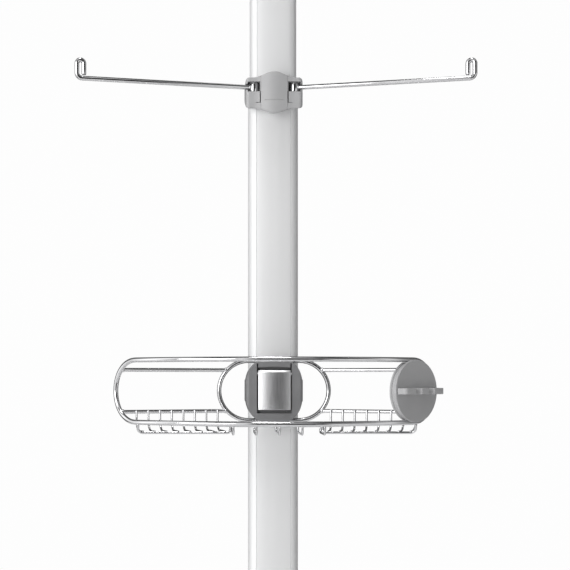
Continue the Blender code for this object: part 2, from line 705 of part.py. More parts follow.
def build_soap_dish():
    """An oval ring with five wires that hang below it to carry the soap."""
    count = 36
    ring = []
    for i in range(count):
        angle = math.tau * i / count
        ring.append((DISH_HALF_WIDTH * math.cos(angle),
                     DISH_Y + DISH_HALF_DEPTH * math.sin(angle), DISH_Z))
    dish = make_piece("soap_dish", wire(ring, DISH_WIRE, (0, 0, 1), 6, closed=True),
                      "chrome", "basket")
    drops = bmesh.new()
    for step in range(-2, 3):
        x = step * DISH_PITCH
        front, rear = dish_edge(x, -1), dish_edge(x, 1)
        corners = ((x, front, DISH_Z), (x, front, DISH_FLOOR_Z),
                   (x, rear, DISH_FLOOR_Z), (x, rear, DISH_Z))
        wire(rounded_path(corners, (5 * MM, 5 * MM), 3), DISH_DROP_WIRE, (1, 0, 0), 6, bm=drops)
    join(dish, drops)


# ---------------------------------------------------------------- basket clamp

def clamp_half_height(x):
    share = min(abs(x) / HOUSING_HALF_WIDTH, 1.0) ** CLAMP_ROUNDNESS
    return max(CLAMP_HEIGHT * (1 - share) ** (1 / CLAMP_ROUNDNESS), CLAMP_SIDE_HEIGHT)


def clamp_front(x):
    bulge = CLAMP_BULGE * swell(x, 8 * MM, 24 * MM)
    return CLAMP_FRONT + bulge - corner_drop(x, FRONT_CORNER)


def build_clamp():
    body = make_piece("clamp_body", housing(housing_stations(), clamp_front, housing_rear,
                                            clamp_half_height, BASKET_HEIGHT),
                      "dark_plastic", "basket")
    cut(body, prism(outer_outline(GAP), BASKET_HEIGHT - 60 * MM, BASKET_HEIGHT + 60 * MM))
    channel = REAR_LOOP_WIRE + GAP
    for level in (-1, 1):
        height = BASKET_HEIGHT + level * LOOP_RADIUS
        cut(body, box((-50 * MM, REAR_LOOP_Y - channel, height - channel),
                      (50 * MM, -8 * MM, height + channel)))
    recess = LEVER_HALF_WIDTH + LEVER_RECESS
    cut(body, box((-recess, -60 * MM, LEVER_BOTTOM - 3.5 * MM),
                  (recess, -21.6 * MM, LEVER_TOP + 3.9 * MM)))
    hub_low, hub_high = LEVER_PIVOT_Z - 6.6 * MM, LEVER_PIVOT_Z + 5.2 * MM
    cut(body, box((-recess, -60 * MM, hub_low), (recess, -19.3 * MM, hub_high)))
    brake = BRAKE_HALF_WIDTH + 0.4 * MM
    cut(body, box((-brake, -40 * MM, hub_low), (brake, -8 * MM, LEVER_PIVOT_Z + 4.4 * MM)))
    pivot = (0, LEVER_PIVOT_Y, LEVER_PIVOT_Z)
    hole = LEVER_PIN_HALF + 0.4 * MM
    cut(body, turned(((-hole, PIN_HOLE), (hole, PIN_HOLE)), pivot, (1, 0, 0), 12))
    make_piece("lever_pin", turned(((-LEVER_PIN_HALF, PIN_RADIUS), (LEVER_PIN_HALF, PIN_RADIUS)),
                                   pivot, (1, 0, 0), 12), "steel", "basket")
    make_piece("clamp_pad", box((-BRAKE_HALF_WIDTH, -19.2 * MM, LEVER_PIVOT_Z - 6.2 * MM),
                                (BRAKE_HALF_WIDTH, -13.4 * MM, LEVER_PIVOT_Z + 4.0 * MM)),
               "rubber", "clamp_pad")


def lever_outline():
    """The lever's side view: a cam round the pivot and a grip that hangs below it."""
    cam_y = LEVER_PIVOT_Y + CAM_OFFSET
    points = []
    for i in range(13):
        angle = math.radians(70 - 150 * i / 12)
        points.append((cam_y + CAM_RADIUS * math.cos(angle),
                       LEVER_PIVOT_Z + CAM_RADIUS * math.sin(angle)))
    front = -CLAMP_FRONT - CLAMP_BULGE - 0.6 * MM
    points += [(-23.6 * MM, 852 * MM), (-22.6 * MM, LEVER_BOTTOM + 4 * MM),
               (-25.4 * MM, LEVER_BOTTOM), (front, LEVER_BOTTOM),
               (front, LEVER_TOP), (LEVER_PIVOT_Y - 0.5 * MM, LEVER_TOP)]
    return points


def build_lever():
    outline = lever_outline()
    half = LEVER_HALF_WIDTH
    sections = [[(x, y, z) for y, z in outline] for x in (-half, half)]
    lever = make_piece("clamp_lever", loft(sections), "dark_plastic", "lever")
    pivot = (0, LEVER_PIVOT_Y, LEVER_PIVOT_Z)
    cut(lever, turned(((-2 * half, PIN_HOLE), (2 * half, PIN_HOLE)), pivot, (1, 0, 0), 12))
    back = CLAMP_FRONT + CLAMP_BULGE + 0.6 * MM + GAP
    stations = [half * i / 6 for i in range(-6, 7)]
    sections = []
    for x in stations:
        front = back + PLATE_THICKNESS + PLATE_CROWN * (1 - (x / half) ** 2)
        top = back + 0.45 * (front - back)
        sections.append([(x, -front, LEVER_BOTTOM), (x, -back, LEVER_BOTTOM),
                         (x, -back, LEVER_TOP), (x, -top, LEVER_TOP),
                         (x, -front, LEVER_TOP - PLATE_BEVEL)])
    make_piece("lever_plate", loft(sections), "brushed", "lever")


# ---------------------------------------------------------------- brush holder

def holder_frame():
    centre, outward = bow_point(BOW_RIGHT, BASKET_HEIGHT)
    along = Vector((-outward.y, outward.x, 0))
    return centre, outward, along


def build_holder():
    """A round plug snapped into the loop's right end, with a slotted shelf on its face."""
    centre, outward, along = holder_frame()
    edge = 0.8 * MM
    disc = make_piece("holder_disc", turned((
        (-HOLDER_BACK, HOLDER_RADIUS - edge), (-HOLDER_BACK + edge, HOLDER_RADIUS),
        (HOLDER_FACE - edge, HOLDER_RADIUS), (HOLDER_FACE, HOLDER_RADIUS - edge)),
        centre, outward, 40), "plastic", "holder")
    path, references = [], []
    for distance, height in stadium(BOW_LEFT, BOW_RIGHT, LOOP_RADIUS, 6, 16):
        if distance > BOW_RIGHT / 2:
            point, normal = bow_point(distance, BASKET_HEIGHT + height)
            path.append(point)
            references.append(normal)
    last, normal = bow_point(BOW_RIGHT * 2 / 3, BASKET_HEIGHT - LOOP_RADIUS)
    path.append(last)
    references.append(normal)
    clear = LOOP_WIRE + 2 * GAP
    groove = ((-12 * MM, clear), (clear, clear), (clear, -8 * MM), (-12 * MM, -8 * MM))
    cut(disc, sweep(path, references, groove))

    def at(across, out, height):
        return centre + along * across + outward * out + Vector((0, 0, height))

    near = HOLDER_FACE + GAP
    far = near + SHELF_REACH
    chamfer = 3.5 * MM
    outline = [(-SHELF_HALF_WIDTH, near), (-SHELF_HALF_WIDTH, far - chamfer),
               (-SHELF_HALF_WIDTH + chamfer, far)]
    for middle in (-NOTCH_X, NOTCH_X):
        outline += [(middle - NOTCH_HALF, far), (middle - NOTCH_HALF, far - NOTCH_DEPTH),
                    (middle + NOTCH_HALF, far - NOTCH_DEPTH), (middle + NOTCH_HALF, far)]
    outline += [(SHELF_HALF_WIDTH - chamfer, far), (SHELF_HALF_WIDTH, far - chamfer),
                (SHELF_HALF_WIDTH, near)]
    half = SHELF_HALF_THICKNESS
    sections = [[at(u, v, height) for u, v in outline] for height in (-half, half)]
    make_piece("holder_shelf", loft(sections), "plastic", "holder")


# ---------------------------------------------------------------- spring-loaded top

def build_top():
    axis = (0, 0, 1)
    bore_width = INNER_HALF_WIDTH - INNER_WALL - GAP
    bore_depth = INNER_HALF_DEPTH - INNER_WALL - GAP
    bore_flat = INNER_FLAT - INNER_WALL / 2 - GAP
    plug = pole_outline(bore_width, bore_depth, bore_flat)

    bush = make_piece("guide_bush", prism(plug, INNER_BOTTOM - 5 * MM, INNER_BOTTOM + 14 * MM),
                      "dark_plastic", "upper_pole")
    join(bush, prism(inner_outline(), INNER_BOTTOM - 12 * MM, INNER_BOTTOM - GAP))
    make_piece("spring_seat", prism(plug, SPRING_BOTTOM - 12 * MM, SPRING_BOTTOM - GAP),
               "dark_plastic", "upper_pole")

    guide = make_piece("top_guide", prism(plug, INNER_TOP - 18 * MM, INNER_TOP + 1 * MM),
                       "dark_plastic", "upper_pole")
    join(guide, prism(inner_outline(1 * MM), INNER_TOP + GAP, INNER_TOP + 4 * MM))
    cut(guide, turned(((-60 * MM, PLUNGER_RADIUS + GAP), (60 * MM, PLUNGER_RADIUS + GAP)),
                      (0, 0, INNER_TOP), axis, 20))

    coil = []
    steps = SPRING_TURNS * 12
    rise = SPRING_TOP - SPRING_BOTTOM - 2 * SPRING_WIRE
    for i in range(steps + 1):
        angle = math.tau * i / 12
        coil.append((SPRING_RADIUS * math.cos(angle), SPRING_RADIUS * math.sin(angle),
                     SPRING_BOTTOM + SPRING_WIRE + rise * i / steps))
    make_piece("tension_spring", wire(coil, SPRING_WIRE, axis, 5), "steel", "top_foot")

    flange_top = SPRING_TOP + GAP + 6 * MM
    make_piece("top_plunger", turned((
        (SPRING_TOP + GAP, PLUNGER_FLANGE), (flange_top, PLUNGER_FLANGE),
        (flange_top, PLUNGER_RADIUS), (TOP_FOOT_TOP - 10 * MM, PLUNGER_RADIUS)),
        (0, 0, 0), axis, 20), "steel", "top_foot")
    foot = make_piece("top_foot", stack((
        (TOP_FOOT_BOTTOM, 13 * MM, 11 * MM), (TOP_FOOT_BOTTOM + 8 * MM, 19 * MM, 14 * MM),
        (TOP_FOOT_TOP - 10 * MM, 34 * MM, 24 * MM), (TOP_FOOT_TOP - 4 * MM, 38 * MM, 27 * MM),
        (TOP_FOOT_TOP, 38 * MM, 27 * MM))), "plastic", "top_foot")
    cut(foot, turned(((-20 * MM, PLUNGER_RADIUS + GAP), (18.4 * MM, PLUNGER_RADIUS + GAP)),
                     (0, 0, TOP_FOOT_BOTTOM), axis, 20))
    make_piece("top_pad", stack((
        (TOP_FOOT_TOP + GAP, 36.5 * MM, 25.5 * MM), (TOP_PAD_TOP - 0.6 * MM, 36.5 * MM, 25.5 * MM),
        (TOP_PAD_TOP, 35.7 * MM, 24.7 * MM))), "rubber", "top_foot")


def main():
    clear_scene()
    make_body("root", (0, 0, 0))
    make_body("upper_pole", (0, 0, INNER_BOTTOM))
    make_body("top_foot", (0, 0, TOP_FOOT_BOTTOM), "upper_pole")
    make_body("arm_left", (-ARM_PIVOT_X, ARM_PIVOT_Y, ARM_HEIGHT))
    make_body("arm_right", (ARM_PIVOT_X, ARM_PIVOT_Y, ARM_HEIGHT))
    make_body("lock_knob", (0, 0, LOCK_HEIGHT))
    make_body("basket", (0, 0, BASKET_HEIGHT))
    make_body("lever", (0, LEVER_PIVOT_Y, LEVER_PIVOT_Z), "basket")
    make_body("clamp_pad", (0, LEVER_PIVOT_Y, LEVER_PIVOT_Z), "basket")
    make_body("holder", holder_frame()[0], "basket")
    build_pole()
    build_base()
    build_collar()
    build_pole_lock()
    build_arms()
    build_front_loop()
    build_rear_loop()
    build_rear_rails()
    build_floor_grids()
    build_soap_dish()
    build_clamp()
    build_lever()
    build_holder()
    build_top()


main()
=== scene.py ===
"""Looks of the tension-pole shower caddy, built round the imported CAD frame.

Units are metres in the frame's own axes: +Z up, the front towards -Y, the origin under the base
pad. Each visible piece is a finer version of the CAD node that it replaces; the few pieces that
stay hidden inside keep their CAD mesh and get a material. Most pieces' boxes are within 0.3 mm of
their CAD node's. These differ more, or on purpose. The front loop sits 0.23 mm further back and the
arms' hooks reach 0.04 mm less, because round wires reach past faceted ones. The rails end up to
5.2 mm further out, the arms start 1.7 mm nearer the pole, and the floor wires, brush holder and
collar cover differ by 0.5 to 1 mm. The collar's shell reaches 3.5 mm less far back. The collar's
screws sit 2.6 mm too high, under the cover. The clamp's pocket is 0.4 to 1.3 mm lower at its top,
and the brush holder's groove is 0.45 mm tighter round the loop.
"""
import json
import math

import bmesh
import bpy
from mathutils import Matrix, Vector


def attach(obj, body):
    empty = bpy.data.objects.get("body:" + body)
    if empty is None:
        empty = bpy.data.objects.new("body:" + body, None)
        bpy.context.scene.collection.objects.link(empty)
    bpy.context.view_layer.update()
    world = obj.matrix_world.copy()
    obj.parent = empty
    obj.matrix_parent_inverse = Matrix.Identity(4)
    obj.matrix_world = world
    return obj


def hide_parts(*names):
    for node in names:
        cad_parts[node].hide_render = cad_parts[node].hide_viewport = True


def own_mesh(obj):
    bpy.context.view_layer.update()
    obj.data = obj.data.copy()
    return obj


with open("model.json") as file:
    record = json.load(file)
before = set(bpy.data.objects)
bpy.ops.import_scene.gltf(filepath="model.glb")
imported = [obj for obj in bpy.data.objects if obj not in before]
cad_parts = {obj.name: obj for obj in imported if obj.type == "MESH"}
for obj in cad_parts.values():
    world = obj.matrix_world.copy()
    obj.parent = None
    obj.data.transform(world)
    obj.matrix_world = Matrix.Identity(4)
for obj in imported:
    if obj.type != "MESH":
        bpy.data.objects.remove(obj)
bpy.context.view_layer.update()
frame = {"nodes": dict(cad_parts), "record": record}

MM = 0.001
PI = math.pi
TAU = math.tau

# Pole, as in the CAD model
OUTER_HALF_WIDTH = 25.2 * MM
OUTER_HALF_DEPTH = 13.0 * MM
OUTER_FLAT = 17.0 * MM
OUTER_WALL = 1.4 * MM
INNER_HALF_WIDTH = 23.5 * MM
INNER_HALF_DEPTH = 11.25 * MM
INNER_FLAT = 16.3 * MM
INNER_WALL = 1.2 * MM
FACE_CROWN = 1.0 * MM
CREASE_ANGLE = math.radians(38)
OUTER_BOTTOM = 12.0 * MM
OUTER_TOP = 1145.4 * MM
INNER_BOTTOM = 76.0 * MM
INNER_TOP = 1470.0 * MM
CREASE_GROOVE = 0.8 * MM
CLEAR = 0.3 * MM

# Collar and arms
HOUSING_HALF_WIDTH = 28.5 * MM
HOUSING_REAR = 17.0 * MM
COLLAR_FRONT = 24.5 * MM
COLLAR_BULGE = 4.0 * MM
COLLAR_MIDDLE = 1141.2 * MM
COLLAR_SIDE_HEIGHT = 15.3 * MM
COLLAR_RISE = 5.3 * MM
COLLAR_SWELL = 21.0 * MM
COLLAR_REAR_LIFT = 10.0 * MM
COVER_HALF_WIDTH = 13.3 * MM
COVER_LINE_Z = 1133.5 * MM
COVER_LINE_HALF_WIDTH = 9.5 * MM
WINDOW_INNER = 13.9 * MM
WINDOW_OUTER = 26.4 * MM
WINDOW_HALF_HEIGHT = 5.0 * MM
WINDOW_BACK = -14.4 * MM
ARM_HEIGHT = 1147.4 * MM
ARM_PIVOT_X = 20.0 * MM
ARM_PIVOT_Y = -19.0 * MM
ARM_REACH = 176.16 * MM
ARM_WIRE = 2.25 * MM
ARM_TURN = 3.35 * MM
ARM_HOOK_TOP = 17.4 * MM
ARM_SWING = math.radians(13.2)
BARREL_RADIUS = 4.0 * MM
BARREL_HALF = 4.7 * MM
LOCK_HEIGHT = 1154.4 * MM
COLLAR_SCREW_X = 7.0 * MM
COLLAR_SCREW_HEIGHT = 1134.0 * MM
SCREW_HEAD_RADIUS = 3.0 * MM
SCREW_SHANK_RADIUS = 1.5 * MM

# Basket
BASKET_HEIGHT = 846.1 * MM
LOOP_RADIUS = 29.6 * MM
LOOP_WIRE = 2.35 * MM
FRONT_Y = -124.77 * MM
BOW_RADIUS = 200.0 * MM
BOW_LEFT = 147.3 * MM
BOW_RIGHT = 140.5 * MM
REAR_LOOP_Y = -18.6 * MM
REAR_LOOP_HALF = 24.9 * MM
REAR_LOOP_WIRE = 2.2 * MM
RAIL_OFFSET = 20.3 * MM
RAIL_WIRE = 1.9 * MM
GRID_WIRE = 1.0 * MM
GRID_PITCH = 11.2 * MM
GRID_STEPS = range(5, 13)
GRID_Z = 807.4 * MM
GRID_CLOSING = 7.5 * MM
GRID_BEND = 10.0 * MM
GRID_TIE_Y = -70.0 * MM
GRID_TIE_WIRE = 1.25 * MM
DISH_Y = -90.0 * MM
DISH_HALF_WIDTH = 70.0 * MM
DISH_HALF_DEPTH = 30.5 * MM
DISH_Z = 815.0 * MM
DISH_FLOOR_Z = 806.6 * MM
DISH_WIRE = 1.5 * MM
DISH_DROP_WIRE = 1.1 * MM
DISH_PITCH = 21.0 * MM

# Clamp and lever
CLAMP_FRONT = 27.4 * MM
CLAMP_HEIGHT = 33.0 * MM
CLAMP_SIDE_HEIGHT = 11.0 * MM
CLAMP_ROUNDNESS = 2.5
CLAMP_BULGE = 0.6 * MM
LEVER_HALF_WIDTH = 15.9 * MM
LEVER_RECESS = 1.3 * MM
LEVER_PIVOT_Y = -25.4 * MM
LEVER_PIVOT_Z = 862.5 * MM
LEVER_TOP = 866.2 * MM
LEVER_BOTTOM = 827.0 * MM
CAM_RADIUS = 4.6 * MM
CAM_OFFSET = 1.2 * MM
PLATE_THICKNESS = 1.2 * MM
PLATE_CROWN = 2.2 * MM
PLATE_BEVEL = 1.8 * MM

# Brush holder
HOLDER_RADIUS = 29.7 * MM
HOLDER_FACE = 4.2 * MM
HOLDER_BACK = 4.0 * MM
SHELF_REACH = 10.5 * MM
SHELF_HALF_WIDTH = 28.0 * MM
SHELF_HALF_THICKNESS = 3.0 * MM
NOTCH_X = 9.0 * MM
NOTCH_HALF = 3.5 * MM
NOTCH_DEPTH = 6.5 * MM

# Feet and spring-loaded head
SCREW_TIP = 11.9 * MM
BASE_SCREW_HEIGHT = 30.0 * MM
TOP_FOOT_BOTTOM = 1512.0 * MM
PLUNGER_RADIUS = 6.0 * MM
PLUNGER_BORE = 6.3 * MM
SPRING_BOTTOM = 1364.0 * MM
SPRING_TOP = 1433.5 * MM
SPRING_RADIUS = 7.2 * MM
SPRING_WIRE = 1.1 * MM
SPRING_TURNS = 9


# ---------------------------------------------------------------- materials

def principled(name):
    """A new material with its shader and node tree."""
    material = bpy.data.materials.new(name)
    material.use_nodes = True
    tree = material.node_tree
    return material, tree, tree.nodes["Principled BSDF"]


def noise(tree, scale, stretch=(1, 1, 1), detail=3.0, roughness=0.5):
    """Noise in the frame's own metres, so that its scale is the same on every piece."""
    place = tree.nodes.new("ShaderNodeTexCoord")
    mapping = tree.nodes.new("ShaderNodeMapping")
    mapping.inputs["Scale"].default_value = stretch
    texture = tree.nodes.new("ShaderNodeTexNoise")
    texture.inputs["Scale"].default_value = scale
    texture.inputs["Detail"].default_value = detail
    texture.inputs["Roughness"].default_value = roughness
    tree.links.new(place.outputs["Object"], mapping.inputs["Vector"])
    tree.links.new(mapping.outputs["Vector"], texture.inputs["Vector"])
    return texture.outputs["Fac"]


def ranged(tree, value, low, high, from_low=0.35, from_high=0.65):
    """A noise value spread over a range."""
    node = tree.nodes.new("ShaderNodeMapRange")
    node.inputs["From Min"].default_value = from_low
    node.inputs["From Max"].default_value = from_high
    node.inputs["To Min"].default_value = low
    node.inputs["To Max"].default_value = high
    tree.links.new(value, node.inputs["Value"])
    return node.outputs["Result"]


def between(tree, value, first, second):
    """A colour between two, by a noise value."""
    node = tree.nodes.new("ShaderNodeMix")
    node.data_type = "RGBA"
    node.inputs["A"].default_value = (*first, 1.0)
    node.inputs["B"].default_value = (*second, 1.0)
    tree.links.new(ranged(tree, value, 0.0, 1.0), node.inputs["Factor"])
    return node.outputs["Result"]


def bump(tree, shader, value, strength, distance):
    """Small relief from a noise value; the distance is its depth in metres."""
    node = tree.nodes.new("ShaderNodeBump")
    node.inputs["Strength"].default_value = strength
    node.inputs["Distance"].default_value = distance
    tree.links.new(value, node.inputs["Height"])
    tree.links.new(node.outputs["Normal"], shader.inputs["Normal"])


EVEN = (1, 1, 1)
ALONG_POLE = (1, 1, 0.004)
BRUSHED_DOWN = (1, 1, 0.02)


def surface(name, metallic, tint, low, high, rough, grain, relief, sheen_by_grain=False):
    """A surface tinted by one noise and roughened by another; either of them varies its sheen."""
    material, tree, shader = principled(name)
    shader.inputs["Metallic"].default_value = metallic
    patches = noise(tree, *tint)
    fine = noise(tree, *grain)
    tree.links.new(between(tree, patches, low, high), shader.inputs["Base Color"])
    sheen = fine if sheen_by_grain else patches
    tree.links.new(ranged(tree, sheen, *rough), shader.inputs["Roughness"])
    bump(tree, shader, fine, *relief)
    return material


def plastic(name, low, high, rough):
    """Moulded plastic with a fine spark-eroded grain."""
    return surface(name, 0.0, (35.0, EVEN, 3.0), low, high, rough,
                   (2600.0, EVEN, 2.0, 0.6), (0.18, 0.06 * MM), True)


# Polished wire: a near mirror with a little dulling
CHROME = surface("polished_chrome", 1.0, (60.0, EVEN, 4.0), (0.68, 0.68, 0.69),
                 (0.77, 0.77, 0.78), (0.05, 0.13), (900.0, EVEN, 2.0), (0.04, 0.05 * MM))
# Satin anodised extrusion: fine lines along the pole and a soft sheen
ALUMINIUM = surface("satin_aluminium", 0.25, (14.0, (1, 1, 0.25), 3.0), (0.87, 0.875, 0.88),
                    (0.91, 0.912, 0.915), (0.33, 0.42), (1500.0, ALONG_POLE, 2.0),
                    (0.05, 0.04 * MM), True)
# Stainless plate brushed up and down
BRUSHED = surface("brushed_plate_steel", 1.0, (2600.0, BRUSHED_DOWN, 3.0), (0.82, 0.82, 0.83),
                  (0.92, 0.92, 0.93), (0.31, 0.37), (2600.0, BRUSHED_DOWN, 3.0),
                  (0.03, 0.05 * MM))
# Plain steel of the pins, screws and spring
STEEL = surface("plain_steel", 1.0, (220.0, EVEN, 4.0), (0.50, 0.50, 0.51), (0.62, 0.62, 0.63),
                (0.26, 0.42), (1800.0, EVEN, 3.0), (0.08, 0.05 * MM))
# Dull rubber with a slightly dusty, pebbled skin
RUBBER = surface("pad_rubber", 0.0, (90.0, EVEN, 5.0), (0.045, 0.045, 0.05),
                 (0.075, 0.075, 0.08), (0.62, 0.85), (1400.0, EVEN, 3.0), (0.35, 0.1 * MM))
GREY = plastic("grey_moulding", (0.41, 0.41, 0.415), (0.44, 0.44, 0.445), (0.32, 0.44))
# The collar's grey plastic again, made darker for the clamp: painted shade, not a darker plastic
GREY_PAINTED_SHADE = plastic("grey_moulding_painted_shade", (0.205, 0.205, 0.21), (0.23, 0.23, 0.235), (0.34, 0.46))
DARK = plastic("dark_moulding", (0.10, 0.10, 0.105), (0.125, 0.125, 0.13), (0.36, 0.52))

SLOT_MATERIALS = {
    "alu": ALUMINIUM, "chrome": CHROME, "grey_plastic": GREY, "dark_plastic": DARK,
    "brushed_plate": BRUSHED, "steel": STEEL, "rubber": RUBBER,
}
NODE_SLOTS = {row["node"]: row["material_slot"] for row in frame["record"]["subparts"]}


# ---------------------------------------------------------------- mesh tools

def loft(sections, closed=False, bm=None):
    """Skin rings of equally many points; the ends are capped unless the loft closes on itself."""
    bm = bm or bmesh.new()
    rings = [[bm.verts.new(point) for point in section] for section in sections]
    count = len(rings[0])
    pairs = list(zip(rings, rings[1:]))
    if closed:
        pairs.append((rings[-1], rings[0]))
    for low, high in pairs:
        for i in range(count):
            j = (i + 1) % count
            bm.faces.new((low[i], low[j], high[j], high[i]))
    if not closed:
        bm.faces.new(rings[0])
        bm.faces.new(rings[-1])
    return bm


def prism(outline, bottom, top):
    return loft([[(x, y, z) for x, y in outline] for z in (bottom, top)])


def box(low, high):
    outline = ((low[0], low[1]), (high[0], low[1]), (high[0], high[1]), (low[0], high[1]))
    return prism(outline, low[2], high[2])


def turned(stations, centre, axis, sides=48, closed=False, bm=None):
    """A turned piece from (distance along the axis, radius) stations."""
    axis = Vector(axis).normalized()
    side = axis.orthogonal().normalized()
    other = axis.cross(side)
    sections = []
    for distance, radius in stations:
        middle = Vector(centre) + axis * distance
        ring = []
        for i in range(sides):
            angle = TAU * i / sides
            ring.append(middle + side * (radius * math.cos(angle))
                        + other * (radius * math.sin(angle)))
        sections.append(ring)
    return loft(sections, closed=closed, bm=bm)


def rounded_profile(corners, radii, steps=5):
    """(distance, radius) stations whose corners are rounded, for turned()."""
    points = [Vector((x, y, 0)) for x, y in corners]
    path = round_corners(points, radii, steps)
    return [(p.x, p.y) for p in path]


def round_corners(corners, radii, steps=6):
    """A polyline whose inner corners are rounded to the given radii; 0 keeps a corner."""
    points = [Vector(corners[0])]
    for i, radius in enumerate(radii, start=1):
        corner = Vector(corners[i])
        back = (Vector(corners[i - 1]) - corner).normalized()
        ahead = (Vector(corners[i + 1]) - corner).normalized()
        half = back.angle(ahead) / 2
        if radius <= 0 or PI / 2 - half < 0.01:
            points.append(corner)
            continue
        middle = corner + (back + ahead).normalized() * (radius / math.sin(half))
        start = corner + back * (radius / math.tan(half)) - middle
        end = corner + ahead * (radius / math.tan(half)) - middle
        turn = PI - 2 * half
        for k in range(steps + 1):
            share = k / steps
            blend = start * math.sin((1 - share) * turn) + end * math.sin(share * turn)
            points.append(middle + blend / math.sin(turn))
    points.append(Vector(corners[-1]))
    return points


def sweep(path, references, section):
    """Carry a flat section along a path; a reference direction keeps each ring from twisting."""
    sections = []
    for i, point in enumerate(path):
        before = path[max(i - 1, 0)]
        after = path[min(i + 1, len(path) - 1)]
        along = (after - before).normalized()
        across = references[i] - along * references[i].dot(along)
        across.normalize()
        up = along.cross(across)
        sections.append([point + across * u + up * v for u, v in section])
    return loft(sections)


def wire(path, radius, reference, sides=20, closed=False, bm=None, round_ends=True):
    """A round wire; open ends are closed with a small rounded nose."""
    points = [Vector(p) for p in path]
    angles = [TAU * i / sides for i in range(sides)]
    count = len(points)
    frames = []
    for i, point in enumerate(points):
        before = points[i - 1] if i or closed else point
        after = points[(i + 1) % count] if i < count - 1 or closed else point
        along = (after - before).normalized()
        direction = reference[i] if isinstance(reference, list) else Vector(reference)
        across = (direction - along * direction.dot(along)).normalized()
        frames.append((point, along, across, radius))
    if round_ends and not closed:
        frames = nose(frames[0], -1) + frames[1:-1] + list(reversed(nose(frames[-1], 1)))
    sections = []
    for point, along, across, size in frames:
        up = along.cross(across)
        sections.append([point + across * (size * math.cos(a)) + up * (size * math.sin(a))
                         for a in angles])
    return loft(sections, closed=closed, bm=bm)


def nose(end, way, steps=4):
    """Rings from a wire's tip to its full radius, inside the wire's length."""
    point, along, across, radius = end
    edge = radius * 0.45
    rings = []
    for i in range(steps + 1):
        angle = PI / 2 * i / steps
        size = radius - edge + edge * math.sin(angle)
        rings.append((point - along * (way * edge * (1 - math.cos(angle))), along, across, size))
    return rings


def bead(centre, size, bm, axis=(0, 0, 1), stretch=1.0, sides=12, rings=7):
    """A small weld bead: an ellipsoid, longer along its axis by the stretch."""
    axis = Vector(axis).normalized()
    stations = []
    for i in range(rings + 1):
        angle = PI * (0.04 + 0.92 * i / rings)
        stations.append((-size * stretch * math.cos(angle), size * math.sin(angle)))
    return turned(stations, centre, axis, sides, bm=bm)


def make_piece(name, bm, body, material, node, angle=32, flat=False):
    """A visible piece, from a mesh in the frame's coordinates, that stands for one CAD node."""
    bmesh.ops.recalc_face_normals(bm, faces=bm.faces)
    mesh = bpy.data.meshes.new(name)
    bm.to_mesh(mesh)
    bm.free()
    mesh.shade_smooth()
    mesh.set_sharp_from_angle(angle=math.radians(angle))
    mesh.materials.append(material)
    piece = bpy.data.objects.new(name, mesh)
    bpy.context.scene.collection.objects.link(piece)
    if flat:
        weighted = piece.modifiers.new("flat_faces", "WEIGHTED_NORMAL")
        weighted.keep_sharp = True
    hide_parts(node)
    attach(piece, body)
    return piece


def cut_solid(bm, cutters, edge=0.0, segments=2, angle=35):
    """Cut solids out of another and round the edges; returns a new mesh."""
    base = scratch_object(bm)
    tools = []
    for cutter in cutters:
        tool = scratch_object(cutter)
        tools.append(tool)
        modifier = base.modifiers.new("cut", "BOOLEAN")
        modifier.operation = "DIFFERENCE"
        modifier.solver = "EXACT"
        modifier.object = tool
    if edge > 0:
        rounding = base.modifiers.new("edges", "BEVEL")
        rounding.width = edge
        rounding.segments = segments
        rounding.limit_method = "ANGLE"
        rounding.angle_limit = math.radians(angle)
    result = bmesh.new()
    graph = bpy.context.evaluated_depsgraph_get()
    evaluated = base.evaluated_get(graph)
    result.from_mesh(evaluated.to_mesh())
    evaluated.to_mesh_clear()
    for item in tools + [base]:
        bpy.data.objects.remove(item, do_unlink=True)
    return result


def scratch_object(bm):
    bmesh.ops.recalc_face_normals(bm, faces=bm.faces)
    mesh = bpy.data.meshes.new("scratch")
    bm.to_mesh(mesh)
    bm.free()
    item = bpy.data.objects.new("scratch", mesh)
    bpy.context.scene.collection.objects.link(item)
    return item


# ---------------------------------------------------------------- shared shapes

def pole_outline(half_width, half_depth, flat, groove=0.0, steps=12, face_steps=12):
    """The pole's plan: crowned faces, a crisp edge with a fine line in it, and curved sides."""
    shoulder = half_depth - FACE_CROWN
    quarter = []
    if groove:
        quarter.append((flat - groove * 0.5, -shoulder))
        quarter.append((flat - groove * 0.2, -shoulder + groove))
        quarter.append((flat + groove * 0.2, -shoulder + groove))
    for i in range(0 if not groove else 1, steps + 1):
        share = i / steps
        angle = CREASE_ANGLE + (PI / 2 - CREASE_ANGLE) * share
        reach = (math.sin(angle) - math.sin(CREASE_ANGLE)) / (1 - math.sin(CREASE_ANGLE))
        quarter.append((flat + (half_width - flat) * reach,
                        -shoulder * math.cos(angle) / math.cos(CREASE_ANGLE)))
    if groove:
        quarter.insert(3, (flat + groove * 0.5, -shoulder * 0.985))
    face = []
    for i in range(1, face_steps):
        x = flat * (2 * i / face_steps - 1)
        face.append((x, -half_depth + FACE_CROWN * (x / flat) ** 2))
    right = quarter + [(x, -y) for x, y in reversed(quarter[:-1])]
    back = [(-x, -y) for x, y in face]
    left = [(-x, -y) for x, y in right]
    return face + right + back + left


def swell(x, start, end):
    share = min(max((abs(x) - start) / (end - start), 0.0), 1.0)
    return (1 + math.cos(PI * share)) / 2


def corner_drop(x, radius):
    """How far a housing's rounded plan corner has fallen away at x."""
    inside = abs(x) - (HOUSING_HALF_WIDTH - radius)
    if inside <= 0:
        return 0.0
    return radius - math.sqrt(max(radius ** 2 - inside ** 2, 0.0))


